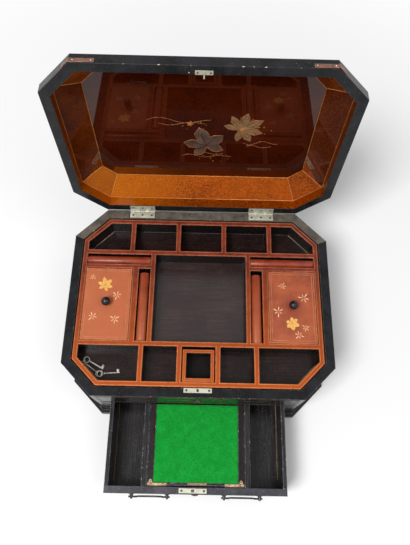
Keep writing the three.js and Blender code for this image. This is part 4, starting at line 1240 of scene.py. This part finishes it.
# Keys: three small filed steel keys with round bows and notched bits, loose in the front left
# compartment. The third is thinner and partly hidden, with its flat bow under the right one's and
# its end at the wall.
def ring_form(form, place, radius, wire, sides=28, wire_sides=10):
    """Adds a round ring of wire, lying in the place's own plane."""
    rows = []
    for angle in round_turns(sides):
        row = []
        for turn in round_turns(wire_sides):
            reach = radius + wire * math.cos(turn)
            point = (reach * math.cos(angle), reach * math.sin(angle), wire * math.sin(turn))
            row.append(form.verts.new(place @ Vector(point)))
        rows.append(row)
    for row, after in zip(rows, rows[1:] + rows[:1]):
        band(form, after, row, smooth=True)


key_steel = finish("key_steel", (228, 222, 212), (150, 140, 130), 0.003, (0.2, 0.35), metal=0.6,
                   fleck=(74, 58, 50), fleck_size=0.001, fleck_threshold=0.6)
key_wire = 0.0013
key_lift = 0.0005
bow_wire = 0.0008
key_bow = 0.0041
key_length = 0.028
key_sides = 16
shank = key_wire * 0.85
key_profile = [(0, key_bow), (shank * 0.8, key_bow), (shank * 0.8, key_bow + 0.0012),
               (key_wire * 1.35, key_bow + 0.0017), (key_wire * 1.35, key_bow + 0.0027),
               (shank, key_bow + 0.0032), (shank, key_length - 0.0004), (shank * 0.7, key_length),
               (0, key_length)]
bit_end = key_length - 0.001
bit_length = 0.003
bit_teeth = ((bit_length, 0.0018), (0.0008, 0))
bit_root = 0.0036
bit_reach = 0.005
bit_sides = (-0.0005, 0.0005)
lengthwise = Matrix.Rotation(math.pi / 2, 4, "Y")
wall_start, wall_end = octagon(tray_inner_inset)[7], octagon(tray_inner_inset)[0]
key_places = {"left": (wall_start + Vector((0.0088, 0.0018)), -28),
              "right": (wall_end + Vector((-0.0021, 0.0135)), 5)}
for side, (at, turn) in key_places.items():
    form = bmesh.new()
    place = (Matrix.Translation((at.x, at.y, floor_top + key_wire + key_lift))
             @ Matrix.Rotation(math.radians(turn), 4, "Z"))
    ring_form(form, place, key_bow, bow_wire)
    turned(form, key_profile, place @ lengthwise, key_sides)
    bar(form, place, (bit_end - bit_length, bit_end), (0, bit_root), bit_sides)
    for first, last in bit_teeth:
        bar(form, place, (bit_end - first, bit_end - last), (bit_root, bit_reach), bit_sides)
    key = make_piece("filed_key_" + side, form, [key_steel], f"{side}_key")
    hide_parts("key_" + side)

wall_way = (wall_end - wall_start).normalized()
wall_inward = Vector((-wall_way.y, wall_way.x))
third_bow_at = (0.032, 0.0068)
third_end_at = (0.0008, 0.0013)
third_bow, third_end = [wall_start + along * wall_way + inward * wall_inward
                        for along, inward in (third_bow_at, third_end_at)]
third_way = third_end - third_bow
third_length = third_way.length
third_shank = 0.0008
third_profile = [(0, key_bow), (third_shank, key_bow), (third_shank, third_length - 0.0004),
                 (third_shank * 0.7, third_length), (0, third_length)]
third_bit = (0.004, 0.0012)
third_bit_height = (0.0001, 0.0008)
flat_bow = 0.0004
flattened = Matrix.Scale(flat_bow / bow_wire, 4, (0, 0, 1))
third_place = (Matrix.Translation((third_bow.x, third_bow.y, floor_top))
               @ Matrix.Rotation(math.atan2(third_way.y, third_way.x), 4, "Z"))
third_form = bmesh.new()
ring_form(third_form, third_place @ Matrix.Translation((0, 0, flat_bow)) @ flattened, key_bow,
          bow_wire)
turned(third_form, third_profile,
       third_place @ Matrix.Translation((0, 0, third_shank)) @ lengthwise, key_sides)
bar(third_form, third_place, (third_length - third_bit[0], third_length - third_bit[1]),
    (-bit_root, 0), third_bit_height)
make_piece("filed_key_third", third_form, [key_steel], "tray")


# Drawer: a black lacquered front with two bail handles, and a box of dark stained wood with a
# long pen compartment at each side and a covered middle.
drawer_depth = 0.25
drawer_front_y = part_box("drawer_back")[1].y - drawer_depth
drawer_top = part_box("drawer_front")[1].z
bail_axis = Vector(joint_of["right_bail_swing"]["pos_m"])
post_spacing = 0.05
post_slimness = 0.55
post_foot = 0.0029
hair = 0.0001
# Wear and painted highlight: the edges of the drawer and the flap turn pale bluish grey with whitish flecks. This
# stands for rubbed lacquer and for the light that the glossy edges catch.
drawer_wear_and_highlight = finish("drawer_wear_and_highlight", (40, 40, 46), (104, 104, 116), 0.012, (0.25, 0.45), shine=0.4,
                       fleck=(196, 196, 204), fleck_size=0.004, fleck_threshold=0.6)
drawer_wood = finish("drawer_wood", (16, 13, 13), (28, 24, 24), 0.03, (0.14, 0.28), shine=0.22,
                     streak=(52, 50, 52), stretch=(520, 30, 520), fleck=(124, 120, 120),
                     fleck_size=0.0014, fleck_threshold=0.68)
aged_silver = finish("aged_silver", (78, 66, 62), (52, 44, 42), 0.004, (0.35, 0.5), metal=0.7,
                     fleck=(150, 140, 130), fleck_size=0.0012, fleck_threshold=0.68)


def front_faces(centre, normal):
    """One for the bail posts, two for the top, painted lighter and bluish as a sheen with some wear, and nought
    for the rest.
    """
    if centre.y < drawer_front_y - hair / 2:
        return 1
    return 2 if normal.z > upward and centre.z > drawer_top - hair else 0


def slim_posts(point):
    """Place of a point once the bail posts are filed flat on both sides beyond their feet."""
    depth = drawer_front_y - point.y
    if depth < hair:
        return point
    bail_x = math.copysign(bail_axis.x, point.x)
    post_x = bail_x + math.copysign(post_spacing / 2, point.x - bail_x)
    share = 1 - (1 - post_slimness) * min(1, depth / post_foot)
    return Vector((post_x + (point.x - post_x) * share, point.y, point.z))


# Painted sheen with some wear: the top of the drawer front is lighter and bluish, as glossy black lacquer looks
# where it mirrors a bright ceiling.
top_wear_and_sheen = finish("top_wear_and_sheen", (68, 68, 75), (40, 38, 43), 0.02, (0.25, 0.4), shine=0.25,
                    fleck=(110, 110, 116), fleck_size=0.0016, fleck_threshold=0.64)
drawer_ease = 0.0005
eased("drawer_front", [black_lacquer, aged_silver, top_wear_and_sheen, drawer_wear_and_highlight], drawer_ease,
      front_faces, reshape=slim_posts)
rosette_profile = [(0, 0), (0.0046, 0), (0.0046, 0.0003), (0.0038, 0.0008), (0.0028, 0.0012),
                   (0, 0.0012)]
rosettes = bmesh.new()
for bail_side in (-1, 1):
    for end in (-1, 1):
        rosette_at = (bail_side * bail_axis.x + end * post_spacing / 2, drawer_front_y, bail_axis.z)
        turned(rosettes, rosette_profile, Matrix.Translation(rosette_at) @ face_front)
make_piece("bail_rosettes", rosettes, [aged_silver], "drawer")
for part in ("drawer_back", "drawer_side_left", "drawer_side_right", "drawer_partition_left",
             "drawer_partition_right"):
    eased(part, [drawer_wood, drawer_wear_and_highlight], drawer_ease)
refinish("drawer_bottom", drawer_wood)

drawer_plate_ease = 0.0002
edge_plate_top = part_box("drawer_lock")[1].z
eased("drawer_lock", [plated_metal, plate_edge], drawer_plate_ease, leave=below_plate)
refinish("drawer_lock_bolt", shadow_metal)
plate_low, plate_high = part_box("drawer_lock")
plate_x, plate_y = (plate_low.x + plate_high.x) / 2, (plate_low.y + plate_high.y) / 2
screws("drawer_lock_screws",
       [Matrix.Translation((plate_x + sign * lock_screw_x, plate_y, plate_high.z))
        for sign in (-1, 1)], "drawer")
keyhole_aside = 0.003
keyhole_drop = 0.018
oval = Matrix.Diagonal((0.78, 1, 1, 1))
hole_height = (0.0021, 0.00225)
hole_radius = 0.0012
hole_slot = (0.0005, 0.0029)
keyhole_profile = [(0, 0), (0.0068, 0), (0.0068, 0.0005), (0.0056, 0.0014), (0.003, 0.0022),
                   (0, 0.0022)]
hole_profile = [(0, hole_height[0]), (hole_radius, hole_height[0]), (hole_radius, hole_height[1]),
                (0, hole_height[1])]
keyhole_at = (plate_x + keyhole_aside, drawer_front_y, plate_high.z - keyhole_drop)
keyhole_place = Matrix.Translation(keyhole_at) @ face_front
keyhole_form = bmesh.new()
turned(keyhole_form, keyhole_profile, keyhole_place @ oval)
# The keyhole is a dark disc and bar laid on the plate: painted shade, not a hole.
turned(keyhole_form, hole_profile, keyhole_place, 16, 1)
bar(keyhole_form, keyhole_place, (-hole_slot[0], hole_slot[0]), (-hole_slot[1], 0), hole_height, 1)
make_piece("drawer_keyhole_plate", keyhole_form, [aged_silver, painted_slot_shade], "drawer")
bail_ease = 0.0001
for side in ("left", "right"):
    eased("bail_" + side, [aged_silver], bail_ease, rounded=True)

side_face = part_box("drawer_side_left")[1].x
partition_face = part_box("drawer_partition_left")[0].x
floor_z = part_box("drawer_bottom")[1].z
foot_gap = 0.003
foot_line = 0.0004
foot_y = (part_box("drawer_side_left")[0].y + foot_gap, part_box("drawer_back")[0].y - foot_gap)
# Pale lines along the foot of each wall of the two side compartments, where the floor meets the wall.
foot_lines = []
for sign in (1, -1):
    for x in (side_face + foot_line, partition_face - foot_line):
        foot_lines.append([Vector((sign * x, y, floor_z)) for y in foot_y])
drawn_lines("drawer_foot_lines", foot_lines, foot_line, pale_foot_line, "drawer",
            closed=False)


# Writing flap: a dark frame with a sheet of bright green baize glued in, hung on a rod by two brass
# straps that are rolled round it at the front corners. Each strap has a small ear, and a thin plate
# lies between them.
flap_low, flap_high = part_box("writing_flap")
cloth_low, cloth_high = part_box("writing_flap_baize")
flap_wood = finish("flap_wood", (24, 15, 14), (36, 22, 19), 0.02, (0.25, 0.4), shine=0.18,
                   streak=(18, 11, 11), stretch=(300, 16, 300))
flap_ease = 0.0004
eased("writing_flap", [flap_wood, drawer_wear_and_highlight], flap_ease)
rod_metal = finish("rod_metal", (92, 82, 84), (64, 56, 58), 0.006, (0.35, 0.5), metal=0.5)
refinish("flap_rod", rod_metal)

baize = bpy.data.materials.new("baize")
baize.use_nodes = True
baize_tree = baize.node_tree
baize_shader = fed(baize_tree, baize_tree.nodes["Principled BSDF"], Roughness=0.95,
                   Sheen_Weight=0.25, Sheen_Roughness=0.5, Specular_IOR_Level=0.15)
baize_where = baize_tree.nodes.new("ShaderNodeTexCoord").outputs["Object"]
baize_clouds = placed(baize_tree, brushed_clouds, baize_where, Ground=paint(6, 142, 44),
                      Cloud=paint(16, 158, 52), Scale=1 / 0.012)
baize_flecks = placed(baize_tree, flecks, baize_where, Color=baize_clouds.outputs["Color"],
                      Fleck=paint(10, 112, 38), Scale=1 / 0.0011, Threshold=0.56)
baize_nap = add(baize_tree, "ShaderNodeTexNoise", Vector=baize_where, Scale=1600.0, Detail=4.0)
baize_bump = add(baize_tree, "ShaderNodeBump", Strength=0.8, Distance=0.0003,
                 Height=baize_nap.outputs["Fac"])
fed(baize_tree, baize_shader, Base_Color=baize_flecks.outputs["Color"],
    Normal=baize_bump.outputs["Normal"])

cloth_size = cloth_high - cloth_low
cloth_drop = 0.0003
drop_reach = 0.02
cloth_wave = 0.00006
columns, rows_deep = 48, 42
cloth = bmesh.new()
sheet_rows = []
for row in range(rows_deep + 1):
    y_share = row / rows_deep
    sheet_rows.append([])
    for column in range(columns + 1):
        x_share = column / columns
        edge = min(x_share, 1 - x_share, y_share, 1 - y_share)
        drop = cloth_drop * max(0.0, 1 - edge / drop_reach) ** 2
        wave = cloth_wave * math.sin(7 * x_share + 3 * y_share) * math.sin(9 * y_share)
        place = (cloth_low.x + cloth_size.x * x_share, cloth_low.y + cloth_size.y * y_share,
                 cloth_high.z - drop + wave - cloth_wave)
        sheet_rows[-1].append(cloth.verts.new(place))
top_faces = []
for near, far in zip(sheet_rows, sheet_rows[1:]):
    for column in range(columns):
        face = cloth.faces.new((near[column], near[column + 1], far[column + 1], far[column]))
        face.smooth = True
        top_faces.append(face)
under = bmesh.ops.extrude_face_region(cloth, geom=top_faces)
for vert in [part for part in under["geom"] if isinstance(part, bmesh.types.BMVert)]:
    vert.co.z = cloth_low.z
baize_piece = make_piece("baize_sheet", cloth, [baize], "flap")
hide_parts("writing_flap_baize")

strap_brass = finish("strap_brass", (184, 164, 130), (158, 122, 88), 0.003, (0.4, 0.55), metal=0.35,
                     fleck=(112, 84, 54), fleck_size=0.0014, fleck_threshold=0.6)
rod_low, rod_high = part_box("flap_rod")
rod_at = Vector((0, (rod_low.y + rod_high.y) / 2, (rod_low.z + rod_high.z) / 2))
strap_length = 0.027
strap_outer = flap_high.x - 0.0006
strap_back = flap_low.y + 0.0005
strap_mouth = flap_low.y + 0.0001
strap_gap = 0.00005
strap_under = flap_high.z + strap_gap
strap_top = flap_high.z + 0.0007
roll_inner = (rod_high.z - rod_low.z) / 2 + strap_gap
roll_outer = strap_top - rod_at.z
roll_start, roll_sweep = 90, 210
roll_steps = 12
roll_turns = [math.radians(roll_start + roll_sweep * step / roll_steps)
              for step in range(roll_steps + 1)]
strap_profile = [(strap_back, strap_under), (strap_back, strap_top)]
for roll, turns in ((roll_outer, roll_turns), (roll_inner, roll_turns[::-1])):
    strap_profile += [(rod_at.y + roll * math.cos(turn), rod_at.z + roll * math.sin(turn))
                      for turn in turns]
strap_profile.append((strap_mouth, strap_under))
strap_form = bmesh.new()
for sign in (-1, 1):
    ends = [[strap_form.verts.new((sign * x, y, z)) for y, z in strap_profile]
            for x in (strap_outer, strap_outer - strap_length)]
    strap_form.faces.new(ends[0])
    strap_form.faces.new(ends[1][::-1])
    for index in range(len(strap_profile)):
        after = (index + 1) % len(strap_profile)
        face = strap_form.faces.new((ends[0][index], ends[0][after], ends[1][after], ends[1][index]))
        face.smooth = 1 < index < 1 + 2 * roll_steps
bmesh.ops.triangulate(strap_form, faces=[face for face in strap_form.faces if len(face.verts) > 4])
make_piece("flap_straps", strap_form, [strap_brass], "flap")

ear_base = flap_low.y + 0.0011
ear_width = 0.0052
ear_height = 0.0044
ear_round = 0.0017
ear_inward = 0.0044
ear_pin_rise = 0.0022
ear_turns = [math.radians(10 + 160 * step / 8) for step in range(9)]
pin_back = 0.001
pins_along = (0.0055, 0.021)
flap_pin_radius = 0.0009
strap_pins = []
ears = []
for sign in (-1, 1):
    ear_x = sign * (strap_outer - ear_inward)
    top = Vector((ear_x, ear_base + ear_height - ear_round))
    ears.append([Vector((ear_x - ear_width / 2, ear_base)), Vector((ear_x + ear_width / 2, ear_base))]
                + [top + ear_round * Vector((math.cos(turn), math.sin(turn))) for turn in ear_turns])
    strap_pins.append(Matrix.Translation((ear_x, ear_base + ear_pin_rise, strap_top)))
    for along in pins_along:
        pin_at = (sign * (strap_outer - along), strap_back - pin_back, strap_top)
        strap_pins.append(Matrix.Translation(pin_at))
ear_place = Matrix.Translation((0, 0, (strap_under + strap_top) / 2))
ear_half = (strap_top - strap_under) / 2
flat_shapes("flap_strap_ears", ears, ear_place, ear_half, strap_brass, "flap")
dull_brass = finish("dull_brass", (152, 124, 90), (112, 86, 62), 0.003, (0.45, 0.6), metal=0.35,
                    fleck=(70, 54, 40), fleck_size=0.0014, fleck_threshold=0.6)
middle_start = 0.31
middle_y = (flap_low.y - 0.0014, flap_low.y + 0.0013)
middle_x = (plate_low.x + middle_start * (plate_high.x - plate_low.x), plate_high.x)
flat_shapes("flap_middle_plate", [rectangle(middle_x, middle_y)], ear_place, ear_half, dull_brass,
            "flap")
screws("flap_strap_screws", strap_pins, "flap", flap_pin_radius)


# Studio: soft lamps over the table, the large one high on the left, and a plain pale floor that
# runs on to a white surround.
def lamp(name, place, size, power, towards=(0, 0, 0.1)):
    """Square soft lamp that faces a point."""
    data = bpy.data.lights.new(name, "AREA")
    data.size = size
    data.energy = power
    light = bpy.data.objects.new(name, data)
    light.location = place
    light.rotation_euler = (Vector(towards) - Vector(place)).to_track_quat("-Z", "Y").to_euler()
    bpy.context.scene.collection.objects.link(light)


def seen_or_mirrored(tree):
    """One where a surface is seen straight or in a mirror, and nought where it only gives light."""
    rays = tree.nodes.new("ShaderNodeLightPath")
    seen = rays.outputs["Is Camera Ray"]
    for kind in ("Is Glossy Ray", "Is Transmission Ray"):
        either = reckoned(tree, "ShaderNodeMath", "MAXIMUM", seen, rays.outputs[kind])
        seen = either.outputs["Value"]
    return seen


lamp("large_lamp", (-0.85, -0.9, 2.3), 0.8, 50)
lamp("small_lamp", (1.2, -0.5, 2.3), 1.4, 10)
world = bpy.data.worlds.new("surround")
bpy.context.scene.world = world
world.use_nodes = True
world_tree = world.node_tree
background = world_tree.nodes["Background"]
background.inputs["Color"].default_value = (1, 1, 1, 1)
brightness = add(world_tree, "ShaderNodeMapRange", Value=seen_or_mirrored(world_tree), To_Min=0.35,
                 To_Max=1.0)
world_tree.links.new(brightness.outputs["Result"], background.inputs["Strength"])

floor_size = 12.0
paper_fades = (0.4, 1.0)
floor_form = bmesh.new()
bmesh.ops.create_grid(floor_form, x_segments=4, y_segments=4, size=floor_size)
floor_data = bpy.data.meshes.new("floor")
floor_form.to_mesh(floor_data)
floor_form.free()
floor_paper = bpy.data.materials.new("floor_paper")
floor_paper.use_nodes = True
paper_tree = floor_paper.node_tree
floor_shader = fed(paper_tree, paper_tree.nodes["Principled BSDF"], Base_Color=(0.96, 0.96, 0.96, 1),
                   Roughness=0.9, Specular_IOR_Level=0.1)
paper_where = paper_tree.nodes.new("ShaderNodeTexCoord").outputs["Object"]
paper_reach = reckoned(paper_tree, "ShaderNodeVectorMath", "LENGTH", paper_where)
paper_fade = add(paper_tree, "ShaderNodeMapRange", {"interpolation_type": "SMOOTHSTEP"},
                 Value=paper_reach.outputs["Value"], From_Min=paper_fades[0], From_Max=paper_fades[1])
paper_share = reckoned(paper_tree, "ShaderNodeMath", "MULTIPLY", paper_fade.outputs["Result"],
                       seen_or_mirrored(paper_tree))
paper_white = add(paper_tree, "ShaderNodeEmission", Color=(1, 1, 1, 1), Strength=1.0)
paper_mix = add(paper_tree, "ShaderNodeMixShader", Fac=paper_share.outputs["Value"])
paper_tree.links.new(floor_shader.outputs["BSDF"], paper_mix.inputs[1])
paper_tree.links.new(paper_white.outputs["Emission"], paper_mix.inputs[2])
paper_out = paper_tree.nodes["Material Output"]
paper_tree.links.new(paper_mix.outputs["Shader"], paper_out.inputs["Surface"])
floor_data.materials.append(floor_paper)
floor = bpy.data.objects.new("floor", floor_data)
bpy.context.scene.collection.objects.link(floor)
bpy.context.scene.view_settings.view_transform = "Standard"
